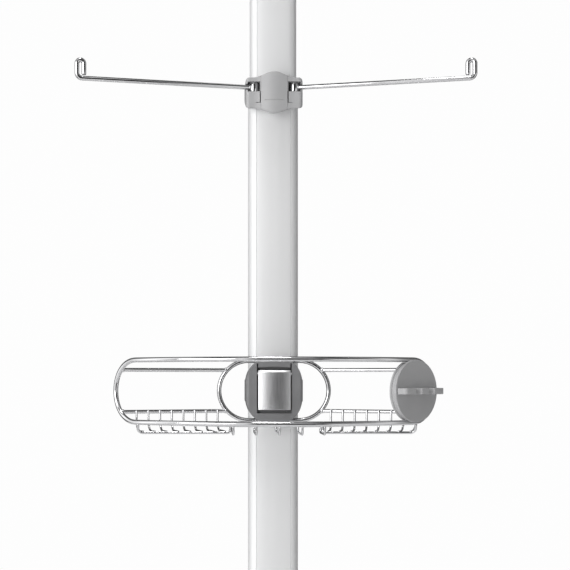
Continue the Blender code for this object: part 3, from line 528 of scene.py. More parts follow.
def housing(stations, front, rear, half_height, middle, rear_lift=0.0, edge=1.1 * MM):
    """A housing lofted across the pole, with its long edges rounded."""
    sections = []
    for x in stations:
        low, high = middle - half_height(x), middle + half_height(x)
        near, far = -front(x), rear(x)
        end = min(1.0, (HOUSING_HALF_WIDTH - abs(x)) / edge) if edge else 1.0
        pull = edge * (1 - math.sqrt(max(0.0, 1 - (1 - end) ** 2)))
        low, high, near, far = low + pull, high - pull, near + pull, far - pull
        ring = []
        for y, z, start in ((near, low, PI), (far, low, 1.5 * PI), (far, high, 0.0),
                            (near, high, 0.5 * PI)):
            centre_y = y + (edge if y == near else -edge)
            centre_z = z + (edge if z == low else -edge)
            for i in range(6):
                angle = start + PI / 2 * i / 5
                lift = rear_lift if (y, z) == (far, low) else 0.0
                ring.append((x, centre_y + edge * math.cos(angle),
                             centre_z + lift + edge * math.sin(angle)))
        sections.append(ring)
    return loft(sections)


def housing_stations(radius=4.0 * MM, field_steps=26, corner_steps=12):
    flat = HOUSING_HALF_WIDTH - radius
    field = [flat * i / field_steps for i in range(1, field_steps + 1)]
    corner = [flat + radius * math.sin(PI / 2 * i / corner_steps)
              for i in range(1, corner_steps + 1)]
    half = field + corner
    return [-x for x in reversed(half)] + [0.0] + half


def bow_point(distance, height, inset=0.0):
    angle = distance / BOW_RADIUS
    outward = Vector((math.sin(angle), -math.cos(angle), 0))
    centre = Vector((0, FRONT_Y + BOW_RADIUS, height))
    return centre + outward * (BOW_RADIUS - inset), outward


def stadium(left, right, radius, run_steps, turn_steps):
    points = []
    for side, start, end in ((1, -left, right), (-1, right, -left)):
        for i in range(run_steps):
            points.append((start + (end - start) * i / run_steps, side * radius))
        for i in range(turn_steps):
            angle = PI / 2 - PI * i / turn_steps
            points.append((end + side * radius * math.cos(angle),
                           side * radius * math.sin(angle)))
    return points


# ---------------------------------------------------------------- pole, feet and head

def pole_section(name, half_width, half_depth, flat, wall, bottom, top, body, node):
    """One aluminium section: outside, rounded lip, inside."""
    lip = 0.35 * MM
    rings = []
    for shrink, height in ((lip, bottom), (0, bottom + lip), (0, top - lip), (lip, top)):
        outline = pole_outline(half_width - shrink, half_depth - shrink, flat - shrink / 2,
                               CREASE_GROOVE)
        rings.append([(x, y, height) for x, y in outline])
    for height in (top, bottom):
        outline = pole_outline(half_width - wall, half_depth - wall, flat - wall / 2,
                               CREASE_GROOVE)
        rings.append([(x, y, height) for x, y in outline])
    make_piece(name, loft(rings, closed=True), body, ALUMINIUM, node, 24)


def superellipse(half_width, half_depth, power=2.6, count=96):
    points = []
    for i in range(count):
        angle = TAU * (i + 0.5) / count
        c, s = math.cos(angle), math.sin(angle)
        points.append((half_width * math.copysign(abs(c) ** (2 / power), c),
                       half_depth * math.copysign(abs(s) ** (2 / power), s)))
    return points


def stack(levels, radii, steps=5):
    """A lofted foot whose side profile has rounded corners: (height, width, depth) levels."""
    path = round_corners([Vector(level) for level in levels], radii, steps)
    return loft([[(x, y, p.x) for x, y in superellipse(p.y, p.z)] for p in path])


def build_pole():
    pole_section("pole_outer_section", OUTER_HALF_WIDTH, OUTER_HALF_DEPTH, OUTER_FLAT,
                 OUTER_WALL, OUTER_BOTTOM, OUTER_TOP, "root", "lower_pole")
    pole_section("pole_inner_section", INNER_HALF_WIDTH, INNER_HALF_DEPTH, INNER_FLAT,
                 INNER_WALL, INNER_BOTTOM, INNER_TOP, "inner_section", "upper_pole")


def build_feet():
    pad = stack(((0, 41.5 * MM, 28.5 * MM), (0.8 * MM, 42.3 * MM, 29.3 * MM),
                 (3.0 * MM, 42.3 * MM, 29.3 * MM)), (0.4 * MM,))
    make_piece("base_rubber_pad", pad, "root", RUBBER, "base_pad")
    levels = ((3.3 * MM, 43.2 * MM, 30.2 * MM), (4.5 * MM, 44.0 * MM, 31.0 * MM),
              (9 * MM, 44.0 * MM, 31.0 * MM), (14 * MM, 41.5 * MM, 28.5 * MM),
              (20 * MM, 33 * MM, 21 * MM), (28 * MM, 29.8 * MM, 17.8 * MM),
              (45 * MM, 29 * MM, 17 * MM), (46 * MM, 28 * MM, 16 * MM))
    shell = stack(levels, (0.8 * MM, 3 * MM, 5 * MM, 6 * MM, 8 * MM, 0.6 * MM), 6)
    bore = prism(pole_outline(OUTER_HALF_WIDTH + CLEAR, OUTER_HALF_DEPTH + CLEAR, OUTER_FLAT),
                 OUTER_BOTTOM - CLEAR, 60 * MM)
    seat = turned(((15.4 * MM, 3.5 * MM), (40 * MM, 3.5 * MM)), (0, 0, BASE_SCREW_HEIGHT),
                  (0, 1, 0), 32)
    shell = cut_solid(shell, [bore, seat], 0.3 * MM)
    make_piece("base_foot_shell", shell, "root", GREY, "base_foot", 30, True)
    build_screw("base_fixing_screw", (0, 0, BASE_SCREW_HEIGHT), (0, 1, 0), SCREW_TIP, 15.7 * MM,
                "base_screw")

    levels = ((TOP_FOOT_BOTTOM, 13 * MM, 11 * MM), (1520 * MM, 19 * MM, 14 * MM),
              (1530 * MM, 34 * MM, 24 * MM), (1536 * MM, 38 * MM, 27 * MM),
              (1540 * MM, 38 * MM, 27 * MM))
    shell = stack(levels, (6 * MM, 6 * MM, 4 * MM), 6)
    socket = turned(((-20 * MM, PLUNGER_BORE), (18.4 * MM, PLUNGER_BORE)),
                    (0, 0, TOP_FOOT_BOTTOM), (0, 0, 1), 48)
    shell = cut_solid(shell, [socket], 0.4 * MM)
    make_piece("ceiling_foot_shell", shell, "spring_foot", GREY, "top_foot", 30, True)
    pad = stack(((1540.3 * MM, 36.5 * MM, 25.5 * MM), (1542.7 * MM, 36.5 * MM, 25.5 * MM),
                 (1543.5 * MM, 35.7 * MM, 24.7 * MM)), (0.4 * MM,))
    make_piece("ceiling_rubber_pad", pad, "spring_foot", RUBBER, "top_pad")


def build_head():
    """The plunger, its guide and the spring in the inner section's top."""
    profile = rounded_profile(((1433.8 * MM, 8.6 * MM), (1439.8 * MM, 8.6 * MM),
                               (1439.8 * MM, PLUNGER_RADIUS), (1530 * MM, PLUNGER_RADIUS)),
                              (0.5 * MM, 0.0), 4)
    make_piece("head_plunger", turned(profile, (0, 0, 0), (0, 0, 1), 48), "spring_foot",
               STEEL, "top_plunger")

    plug = pole_outline(INNER_HALF_WIDTH - INNER_WALL - CLEAR,
                        INNER_HALF_DEPTH - INNER_WALL - CLEAR,
                        INNER_FLAT - INNER_WALL / 2 - CLEAR)
    rim = 1.0 * MM
    edge = 0.6 * MM
    levels = []
    for shrink, height in ((0, INNER_TOP + CLEAR), (0, INNER_TOP + 4 * MM - edge),
                           (edge * 0.3, INNER_TOP + 4 * MM - edge * 0.3),
                           (edge, INNER_TOP + 4 * MM)):
        outline = pole_outline(INNER_HALF_WIDTH + rim - shrink, INNER_HALF_DEPTH + rim - shrink,
                               INNER_FLAT + rim / 2)
        levels.append([(x, y, height) for x, y in outline])
    lower = [[(x, y, height) for x, y in plug]
             for height in (INNER_TOP - 18 * MM, INNER_TOP + CLEAR)]
    guide = loft(lower + levels)
    bore = turned(((-60 * MM, PLUNGER_BORE), (60 * MM, PLUNGER_BORE)), (0, 0, INNER_TOP),
                  (0, 0, 1), 48)
    guide = cut_solid(guide, [bore])
    make_piece("head_guide", guide, "inner_section", DARK, "top_guide", 30, True)

    coil = []
    references = []
    per_turn = 24
    steps = SPRING_TURNS * per_turn
    rise = SPRING_TOP - SPRING_BOTTOM - 2 * SPRING_WIRE
    for i in range(steps + 1):
        angle = TAU * i / per_turn
        coil.append((SPRING_RADIUS * math.cos(angle), SPRING_RADIUS * math.sin(angle),
                     SPRING_BOTTOM + SPRING_WIRE + rise * i / steps))
        references.append(Vector((0, 0, 1)))
    spring = make_piece("head_spring", wire(coil, SPRING_WIRE, references, 12), "inner_section",
                        STEEL, "tension_spring")
    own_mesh(spring)


def build_screw(name, centre, axis, tip, seat, node, body="root"):
    """A pan-head screw with a cross recess; distances run along the axis from the centre."""
    head = SCREW_HEAD_RADIUS
    shank = SCREW_SHANK_RADIUS
    profile = rounded_profile(((tip, 0.4 * MM), (tip + 0.8 * MM, shank), (seat, shank),
                               (seat, head), (seat + 1.2 * MM, head),
                               (seat + 1.9 * MM, head - 0.9 * MM)),
                              (0, 0, 0.2 * MM, 0.5 * MM), 4)
    screw = turned(profile, centre, axis, 36)
    mouth = Vector(centre) + Vector(axis) * (seat + 2.4 * MM)
    depth = 1.4 * MM
    recess = []
    for half_x, half_z in ((1.9 * MM, 0.42 * MM), (0.42 * MM, 1.9 * MM)):
        recess.append(box((mouth.x - half_x, mouth.y - depth, mouth.z - half_z),
                          (mouth.x + half_x, mouth.y + depth, mouth.z + half_z)))
    make_piece(name, cut_solid(screw, recess), body, STEEL, node, 30, True)


# ---------------------------------------------------------------- collar and arms

def collar_half_height(x):
    rise = COLLAR_RISE * swell(x, 0, COLLAR_SWELL)
    return COLLAR_SIDE_HEIGHT + rise - corner_drop(x, 4 * MM)


def collar_front(x):
    bulge = COLLAR_BULGE * swell(x, 0, COLLAR_SWELL)
    return COLLAR_FRONT + bulge - corner_drop(x, 4 * MM)


def housing_rear(x):
    return HOUSING_REAR - corner_drop(x, 7 * MM)


def build_collar():
    body = housing(housing_stations(), collar_front, housing_rear, collar_half_height,
                   COLLAR_MIDDLE, COLLAR_REAR_LIFT)
    outer = pole_outline(OUTER_HALF_WIDTH + CLEAR, OUTER_HALF_DEPTH + CLEAR,
                         OUTER_FLAT + CLEAR / 2)
    inner = pole_outline(INNER_HALF_WIDTH + CLEAR, INNER_HALF_DEPTH + CLEAR,
                         INNER_FLAT + CLEAR / 2)
    cutters = [prism(outer, COLLAR_MIDDLE - 40 * MM, OUTER_TOP + CLEAR),
               prism(inner, OUTER_TOP - 5 * MM, COLLAR_MIDDLE + 40 * MM)]
    seat = COVER_HALF_WIDTH + 0.05 * MM
    cutters.append(box((-seat, -60 * MM, COLLAR_MIDDLE - 40 * MM),
                       (seat, -COLLAR_FRONT + CLEAR, COLLAR_MIDDLE + 40 * MM)))
    for side in (-1, 1):
        holes = ((WINDOW_INNER, WINDOW_OUTER, WINDOW_BACK, ARM_HEIGHT, WINDOW_HALF_HEIGHT),
                 (WINDOW_OUTER - 1 * MM, 40 * MM, WINDOW_BACK, ARM_HEIGHT, 3 * MM),
                 (seat - 0.3 * MM, seat + 0.9 * MM, -19 * MM, 1136.7 * MM, 5.7 * MM),
                 (seat - 0.3 * MM, seat + 4.8 * MM, -23.6 * MM, 1131.3 * MM, 0.35 * MM))
        for near, far, back, height, half_height in holes:
            low, high = sorted((side * near, side * far))
            cutters.append(box((low, -60 * MM, height - half_height),
                               (high, back, height + half_height)))
        cutters.append(turned(((-8.3 * MM, 1.75 * MM), (30 * MM, 1.75 * MM)),
                              (side * ARM_PIVOT_X, ARM_PIVOT_Y, ARM_HEIGHT), (0, 0, 1), 24))
        for near, radius in ((8 * MM, 1.95 * MM), (21.2 * MM, 3.5 * MM)):
            cutters.append(turned(((near, radius), (40 * MM, radius)),
                                  (side * COLLAR_SCREW_X, 0, COLLAR_SCREW_HEIGHT),
                                  (0, -1, 0), 24))
    shell = cut_solid(body, cutters, 0.35 * MM)
    make_piece("collar_shell", shell, "root", GREY, "collar_body", 30, True)

    make_piece("collar_front_cover", cover_loft(), "root", GREY, "collar_cover", 40, True)
    for side, word in ((-1, "left"), (1, "right")):
        build_screw("collar_fixing_screw_" + word,
                    (side * COLLAR_SCREW_X, 0, COLLAR_SCREW_HEIGHT), (0, -1, 0),
                    SCREW_TIP, 21.5 * MM, "collar_screw_" + word)
        pin = turned(rounded_profile(((-8 * MM, 1.2 * MM), (-8 * MM, 1.6 * MM),
                                      (8.5 * MM, 1.6 * MM), (8.5 * MM, 1.2 * MM)),
                                     (0.2 * MM, 0.3 * MM), 3),
                     (side * ARM_PIVOT_X, ARM_PIVOT_Y, ARM_HEIGHT), (0, 0, 1), 24)
        make_piece("arm_pivot_pin_" + word, pin, "root", STEEL, "arm_pin_" + word)


def cover_loft():
    """The bulging cover, its long edges rounded, with a fine line pressed across its front."""
    edge, side_edge, groove = 1.6 * MM, 0.5 * MM, 0.45 * MM
    line = [(COVER_LINE_Z + groove * k, depth) for k, depth in
            ((3.0, 0.0), (1.0, 0.0), (0.7, 1.0), (-0.7, 1.0), (-1.0, 0.0), (-3.0, 0.0))]
    steps = 40
    stations = [COVER_HALF_WIDTH * math.sin(PI / 2 * i / steps) for i in range(-steps, steps + 1)]
    sections = []
    for x in stations:
        near, far = -collar_front(x), -COLLAR_FRONT
        low = COLLAR_MIDDLE - collar_half_height(x)
        high = COLLAR_MIDDLE + collar_half_height(x)
        side = max(0.0, abs(x) - (COVER_HALF_WIDTH - side_edge)) / side_edge
        near += side_edge * (1 - math.sqrt(max(0.0, 1 - side ** 2)))
        fade = min(max((COVER_LINE_HALF_WIDTH - abs(x)) / (0.8 * MM), 0.0), 1.0)
        ring = [(x, far, low), (x, far, high)]
        for i in range(9):
            angle = PI / 2 * i / 8
            ring.append((x, near + edge * (1 - math.sin(angle)),
                         high - edge * (1 - math.cos(angle))))
        for z, depth in line:
            ring.append((x, near + groove * depth * fade, z))
        for i in range(9):
            angle = PI / 2 * i / 8
            ring.append((x, near + edge * (1 - math.cos(angle)),
                         low + edge * (1 - math.sin(angle))))
        sections.append(ring)
    return loft(sections)


def build_pole_lock():
    """The lobed knob behind the collar."""
    centre = (0, 0, LOCK_HEIGHT)
    lobes = 6
    count = lobes * 16
    profile = [(21.0, 0.86), (21.5, 0.95), (22.4, 1.0), (30.4, 1.0), (31.6, 0.975),
               (32.5, 0.91), (33.0, 0.80), (32.4, 0.70), (32.2, 0.60)]
    sections = []
    for distance, scale in profile:
        ring = []
        for i in range(count):
            angle = TAU * i / count
            radius = (10.4 + 0.9 * math.cos(lobes * angle)) * MM * scale
            ring.append((radius * math.cos(angle), distance * MM,
                         LOCK_HEIGHT + radius * math.sin(angle)))
        sections.append(ring)
    knob = cut_solid(loft(sections), [turned(((15 * MM, 2.25 * MM), (30.3 * MM, 2.25 * MM)),
                                             centre, (0, 1, 0), 32)])
    make_piece("lock_knob_grip", knob, "pole_lock", DARK, "lock_knob", 30, True)


def arm_path(side):
    out = Vector((side * math.cos(ARM_SWING), -math.sin(ARM_SWING), 0))
    up = Vector((0, 0, 1))
    pivot = Vector((side * ARM_PIVOT_X, ARM_PIVOT_Y, ARM_HEIGHT))
    top = ARM_HOOK_TOP - ARM_TURN
    corner = pivot + out * ARM_REACH
    path = round_corners((pivot + out * (BARREL_RADIUS * 0.6), corner, corner + up * top),
                         (ARM_TURN * 1.5,), 14)
    crown = corner - out * ARM_TURN + up * top
    for i in range(1, 25):
        angle = PI * i / 24
        path.append(crown + out * (ARM_TURN * math.cos(angle)) + up * (ARM_TURN * math.sin(angle)))
    path.append(corner - out * (2 * ARM_TURN) + up * (ARM_WIRE + 0.9 * MM))
    return path, out, out.cross(up)


def build_arms():
    for side, word in ((-1, "left"), (1, "right")):
        body = word + "_arm"
        pivot = Vector((side * ARM_PIVOT_X, ARM_PIVOT_Y, ARM_HEIGHT))
        path, out, normal = arm_path(side)
        rod = wire(path, ARM_WIRE, normal, 28)
        bead(pivot + out * (BARREL_RADIUS + 0.1 * MM), 2.75 * MM, rod, out, 0.55, 24, 10)
        make_piece("towel_rod_" + word, rod, body, CHROME, "towel_arm_" + word)
        bore = 2.0 * MM
        rim = 0.5 * MM
        profile = [(-BARREL_HALF, bore + rim * 0.4), (-BARREL_HALF, BARREL_RADIUS - rim),
                   (-BARREL_HALF + rim * 0.3, BARREL_RADIUS - rim * 0.3),
                   (-BARREL_HALF + rim, BARREL_RADIUS), (BARREL_HALF - rim, BARREL_RADIUS),
                   (BARREL_HALF - rim * 0.3, BARREL_RADIUS - rim * 0.3),
                   (BARREL_HALF, BARREL_RADIUS - rim), (BARREL_HALF, bore + rim * 0.4),
                   (BARREL_HALF - rim * 0.4, bore), (-BARREL_HALF + rim * 0.4, bore)]
        make_piece("arm_knuckle_" + word, turned(profile, pivot, (0, 0, 1), 48, closed=True),
                   body, CHROME, "arm_barrel_" + word)


# ---------------------------------------------------------------- basket wires

def rail_ends(side, level):
    reach = math.sqrt(LOOP_RADIUS ** 2 - RAIL_OFFSET ** 2)
    height = BASKET_HEIGHT + level * RAIL_OFFSET
    run = BOW_RIGHT if side > 0 else BOW_LEFT
    outer, _ = bow_point(side * (run + reach), height)
    inner = Vector((side * (REAR_LOOP_HALF + reach), REAR_LOOP_Y, height))
    return outer, inner


def grid_wire_path(side, step):
    """One floor wire: down from the rear rail, then forward and inward to the tie wire."""
    outer, inner = rail_ends(side, -1)
    x = side * step * GRID_PITCH
    share = (x - inner.x) / (outer.x - inner.x)
    lap = RAIL_WIRE + GRID_WIRE - 0.2 * MM
    rear = Vector((x, inner.y + (outer.y - inner.y) * share - lap / 0.9, 0))
    front = Vector((x - side * GRID_CLOSING, GRID_TIE_Y - GRID_TIE_WIRE, 0))
    up = Vector((0, 0, 1))
    corners = (rear + up * (BASKET_HEIGHT - RAIL_OFFSET + 1.5 * MM),
               rear + up * GRID_Z,
               front + up * GRID_Z)
    return round_corners(corners, (GRID_BEND,), 12)


def grid_tie_path(side):
    """The tie wire: up to the dish's ring at its inner end and to the loop at its outer end."""
    low = GRID_Z - 1.0 * MM
    inner, outer = side * 44 * MM, side * 132 * MM
    loop, _ = bow_point(BOW_RADIUS * math.asin(outer / BOW_RADIUS), 0)
    corners = ((inner, dish_edge(inner, 1), DISH_Z - DISH_WIRE + 0.3 * MM),
               (inner, GRID_TIE_Y, low),
               (outer, GRID_TIE_Y, low),
               (outer, loop.y, BASKET_HEIGHT - LOOP_RADIUS - LOOP_WIRE + 0.5 * MM))
    return round_corners(corners, (3 * MM, 4.5 * MM), 10)


def build_basket():
    path, references = [], []
    for distance, height in stadium(BOW_LEFT, BOW_RIGHT, LOOP_RADIUS, 72, 40):
        point, outward = bow_point(distance, BASKET_HEIGHT + height)
        path.append(point)
        references.append(outward)
    make_piece("basket_front_wire", wire(path, LOOP_WIRE, references, 28, closed=True),
               "basket", CHROME, "front_loop")

    path = [(x, REAR_LOOP_Y, BASKET_HEIGHT + height)
            for x, height in stadium(REAR_LOOP_HALF, REAR_LOOP_HALF, LOOP_RADIUS, 4, 40)]
    make_piece("basket_rear_wire", wire(path, REAR_LOOP_WIRE, (0, 1, 0), 28, closed=True),
               "basket", CHROME, "rear_loop")

    for side, side_word in ((-1, "left"), (1, "right")):
        for level, level_word in ((-1, "lower"), (1, "upper")):
            outer, inner = rail_ends(side, level)
            along = (outer - inner).normalized()
            ends = (inner + along * (0.5 * MM), outer - along * (0.8 * MM))
            rail = wire(ends, RAIL_WIRE, (0, 0, 1), 24, round_ends=False)
            bead(inner + along * (1.6 * MM), 2.5 * MM, rail, along, 0.9)
            bead(outer - along * (2.2 * MM), 2.5 * MM, rail, along, 0.9)
            word = level_word + "_" + side_word
            make_piece("basket_rail_" + word, rail, "basket", CHROME, "rear_rail_" + word)

        grid = wire(grid_tie_path(side), GRID_TIE_WIRE, (0, 1, 0), 16)
        for step in GRID_STEPS:
            wire(grid_wire_path(side, step), GRID_WIRE, (1, 0, 0), 14, bm=grid)
        make_piece("basket_floor_" + side_word, grid, "basket", CHROME, "floor_grid_" + side_word)


def dish_edge(x, side):
    return DISH_Y + side * DISH_HALF_DEPTH * math.sqrt(1 - (x / DISH_HALF_WIDTH) ** 2)


def build_soap_dish():
    count = 160
    ring = []
    for i in range(count):
        angle = TAU * i / count
        ring.append((DISH_HALF_WIDTH * math.cos(angle),
                     DISH_Y + DISH_HALF_DEPTH * math.sin(angle), DISH_Z))
    dish = wire(ring, DISH_WIRE, (0, 0, 1), 20, closed=True)
    for step in range(-2, 3):
        x = step * DISH_PITCH
        front, rear = dish_edge(x, -1), dish_edge(x, 1)
        corners = ((x, front, DISH_Z), (x, front, DISH_FLOOR_Z),
                   (x, rear, DISH_FLOOR_Z), (x, rear, DISH_Z))
        wire(round_corners(corners, (5 * MM, 5 * MM), 8), DISH_DROP_WIRE, (1, 0, 0), 14, bm=dish)
    make_piece("soap_dish_wires", dish, "basket", CHROME, "soap_dish")


# ---------------------------------------------------------------- clamp and lever

def clamp_half_height(x):
    share = min(abs(x) / HOUSING_HALF_WIDTH, 1.0) ** CLAMP_ROUNDNESS
    return max(CLAMP_HEIGHT * (1 - share) ** (1 / CLAMP_ROUNDNESS), CLAMP_SIDE_HEIGHT)


def clamp_front(x):
    bulge = CLAMP_BULGE * swell(x, 8 * MM, 24 * MM)
    return CLAMP_FRONT + bulge - corner_drop(x, 4 * MM)


def arched_pocket(half_width, low, high, rise):
    """The lever's recess, its upper edge arched by the rise."""
    outline = [(half_width, low), (-half_width, low)]
    for i in range(-10, 11):
        outline.append((half_width * i / 10, high + rise * (1 - (i / 10) ** 2)))
    return loft([[(x, y, z) for x, z in outline] for y in (-60 * MM, -21.6 * MM)])


def build_clamp():
    body = housing(housing_stations(), clamp_front, housing_rear, clamp_half_height,
                   BASKET_HEIGHT)
    outer = pole_outline(OUTER_HALF_WIDTH + CLEAR, OUTER_HALF_DEPTH + CLEAR,
                         OUTER_FLAT + CLEAR / 2)
    cutters = [prism(outer, BASKET_HEIGHT - 60 * MM, BASKET_HEIGHT + 60 * MM)]
    channel = REAR_LOOP_WIRE + CLEAR
    for level in (-1, 1):
        height = BASKET_HEIGHT + level * LOOP_RADIUS
        cutters.append(box((-50 * MM, REAR_LOOP_Y - channel, height - channel),
                           (50 * MM, -8 * MM, height + channel)))
    recess = LEVER_HALF_WIDTH + LEVER_RECESS
    cutters.append(arched_pocket(recess, LEVER_BOTTOM - 3.5 * MM, LEVER_TOP + 2.6 * MM, 0.9 * MM))
    cutters.append(box((-recess, -60 * MM, LEVER_PIVOT_Z - 6.6 * MM),
                       (recess, -19.3 * MM, LEVER_PIVOT_Z + 5.2 * MM)))
    cutters.append(box((-11 * MM, -40 * MM, LEVER_PIVOT_Z - 6.6 * MM),
                       (11 * MM, -8 * MM, LEVER_PIVOT_Z + 4.4 * MM)))
    for side in (-1, 1):
        low, high = sorted((side * (recess - 1.3 * MM), side * recess))
        cutters.append(box((low, -60 * MM, LEVER_TOP), (high, -20 * MM, LEVER_TOP + 6.8 * MM)))
    shell = cut_solid(body, cutters, 0.4 * MM)
    # The clamp gets the darker copy of the grey moulding, as painted shade
    make_piece("clamp_shell", shell, "basket", GREY_PAINTED_SHADE, "clamp_body", 30, True)


def lever_outline():
    """The lever's side view, its corners still sharp."""
    cam_y = LEVER_PIVOT_Y + CAM_OFFSET
    cam = []
    for i in range(25):
        angle = math.radians(70 - 150 * i / 24)
        cam.append((cam_y + CAM_RADIUS * math.cos(angle),
                    LEVER_PIVOT_Z + CAM_RADIUS * math.sin(angle)))
    front = -CLAMP_FRONT - CLAMP_BULGE - 0.6 * MM
    grip = [(-23.6 * MM, 852 * MM), (-22.6 * MM, LEVER_BOTTOM + 4 * MM),
            (-25.4 * MM, LEVER_BOTTOM), (front, LEVER_BOTTOM), (front, LEVER_TOP),
            (LEVER_PIVOT_Y - 0.5 * MM, LEVER_TOP)]
    return cam + grip


def build_lever():
    outline = lever_outline()
    half = LEVER_HALF_WIDTH
    body = loft([[(x, y, z) for y, z in outline] for x in (-half, half)])
    body = cut_solid(body, [], 0.45 * MM, 3)
    make_piece("lever_grip", body, "lever", DARK, "clamp_lever", 30, True)

    back = CLAMP_FRONT + CLAMP_BULGE + 0.6 * MM + CLEAR
    edge = 0.5 * MM
    steps = 24
    sections = []
    for i in range(-steps, steps + 1):
        x = half * i / steps
        front = back + PLATE_THICKNESS + PLATE_CROWN * (1 - (x / half) ** 2)
        ring = [(x, -back, LEVER_BOTTOM), (x, -back, LEVER_TOP),
                (x, -back - 0.45 * (front - back), LEVER_TOP),
                (x, -front, LEVER_TOP - PLATE_BEVEL)]
        for k in range(5):
            angle = PI + PI / 2 * k / 4
            ring.append((x, -front + edge + edge * math.cos(angle),
                         LEVER_BOTTOM + edge + edge * math.sin(angle)))
        sections.append(ring)
    make_piece("lever_face_plate", cut_solid(loft(sections), [], 0.2 * MM, 2, 40), "lever",
               BRUSHED, "lever_plate", 20, True)


# ---------------------------------------------------------------- brush holder

def build_holder():
    centre, outward = bow_point(BOW_RIGHT, BASKET_HEIGHT)
    along = Vector((-outward.y, outward.x, 0))
    radius = HOLDER_RADIUS
    floor = radius - 1.3 * MM
    profile = rounded_profile(((-HOLDER_BACK, 1 * MM), (-HOLDER_BACK, radius), (-1.9 * MM, radius),
                               (-1.2 * MM, floor), (1.2 * MM, floor), (1.9 * MM, radius),
                               (HOLDER_FACE, radius), (HOLDER_FACE, 1 * MM)),
                              (0.8 * MM, 0.3 * MM, 0.4 * MM, 0.4 * MM, 0.3 * MM, 0.7 * MM), 5)
    disc = turned(profile, centre, outward, 120)
    path, references = [], []
    for distance, height in stadium(BOW_LEFT, BOW_RIGHT, LOOP_RADIUS, 12, 48):
        if distance > BOW_RIGHT / 2:
            point, normal = bow_point(distance, BASKET_HEIGHT + height)
            path.append(point)
            references.append(normal)
    last, normal = bow_point(BOW_RIGHT * 2 / 3, BASKET_HEIGHT - LOOP_RADIUS)
    path.append(last)
    references.append(normal)
    clear = LOOP_WIRE + 0.15 * MM
    groove = [(-12 * MM, clear), (clear, clear), (clear, -8 * MM), (-12 * MM, -8 * MM)]
    disc = cut_solid(disc, [sweep(path, references, groove)], 0.25 * MM, 2, 40)
    make_piece("holder_plug", disc, "brush_holder", GREY, "holder_disc", 30, True)

    near = HOLDER_FACE + CLEAR
    far = near + SHELF_REACH
    corners = [(-SHELF_HALF_WIDTH, near), (-SHELF_HALF_WIDTH, far)]
    radii = [3.5 * MM]
    for middle in (-NOTCH_X, NOTCH_X):
        corners += [(middle - NOTCH_HALF, far), (middle - NOTCH_HALF, far - NOTCH_DEPTH),
                    (middle + NOTCH_HALF, far - NOTCH_DEPTH), (middle + NOTCH_HALF, far)]
        radii += [1.0 * MM, 3.2 * MM, 3.2 * MM, 1.0 * MM]
    corners += [(SHELF_HALF_WIDTH, far), (SHELF_HALF_WIDTH, near)]
    radii += [3.5 * MM]
    outline = round_corners([Vector((u, v, 0)) for u, v in corners], radii, 7)
    half = SHELF_HALF_THICKNESS
    sections = []
    for height in (-half, half):
        sections.append([centre + along * p.x + outward * p.y + Vector((0, 0, height))
                         for p in outline])
    shelf = cut_solid(loft(sections), [], 0.7 * MM, 3, 50)
    make_piece("holder_ledge", shelf, "brush_holder", GREY, "holder_shelf", 30, True)


def finish_hidden_nodes():
    """The pieces left as CAD solids get the material of their slot."""
    for name, node in frame["nodes"].items():
        material = SLOT_MATERIALS[NODE_SLOTS[name]]
        for slot in node.material_slots:
            slot.material = material


# ---------------------------------------------------------------- stage, light and camera

def build_stage():
    """A round pale floor."""
    count = 96
    radius = 1.7
    floor = bpy.data.meshes.new("floor")
    rim = [(radius * math.cos(TAU * i / count), radius * math.sin(TAU * i / count), -0.0002)
           for i in range(count)]
    floor.from_pydata(rim, [], [list(range(count))])
    material, tree, shader = principled("floor_paint")
    shader.inputs["Base Color"].default_value = (0.92, 0.92, 0.925, 1)
    shader.inputs["Roughness"].default_value = 0.8
    floor.materials.append(material)
    stage = bpy.data.objects.new("floor", floor)
    bpy.context.scene.collection.objects.link(stage)


def build_world():
    """A white studio; what the metal mirrors has soft dark panels beside and behind the camera."""
    world = bpy.data.worlds.new("studio")
    bpy.context.scene.world = world
    world.use_nodes = True
    tree = world.node_tree
    output = tree.nodes["World Output"]
    backdrop = tree.nodes["Background"]
    backdrop.inputs["Color"].default_value = (0.985, 0.985, 0.985, 1)
    backdrop.inputs["Strength"].default_value = 1.0
    studio = tree.nodes.new("ShaderNodeBackground")
    place = tree.nodes.new("ShaderNodeTexCoord")
    shade = studio_shade(tree, place.outputs["Generated"])
    tree.links.new(shade, studio.inputs["Color"])
    studio.inputs["Strength"].default_value = 0.9
    path = tree.nodes.new("ShaderNodeLightPath")
    chooser = tree.nodes.new("ShaderNodeMixShader")
    tree.links.new(path.outputs["Is Camera Ray"], chooser.inputs["Fac"])
    tree.links.new(studio.outputs["Background"], chooser.inputs[1])
    tree.links.new(backdrop.outputs["Background"], chooser.inputs[2])
    tree.links.new(chooser.outputs["Shader"], output.inputs["Surface"])


def math_node(tree, operation, *values):
    node = tree.nodes.new("ShaderNodeMath")
    node.operation = operation
    for i, value in enumerate(values):
        if isinstance(value, (int, float)):
            node.inputs[i].default_value = value
        else:
            tree.links.new(value, node.inputs[i])
    return node.outputs["Value"]


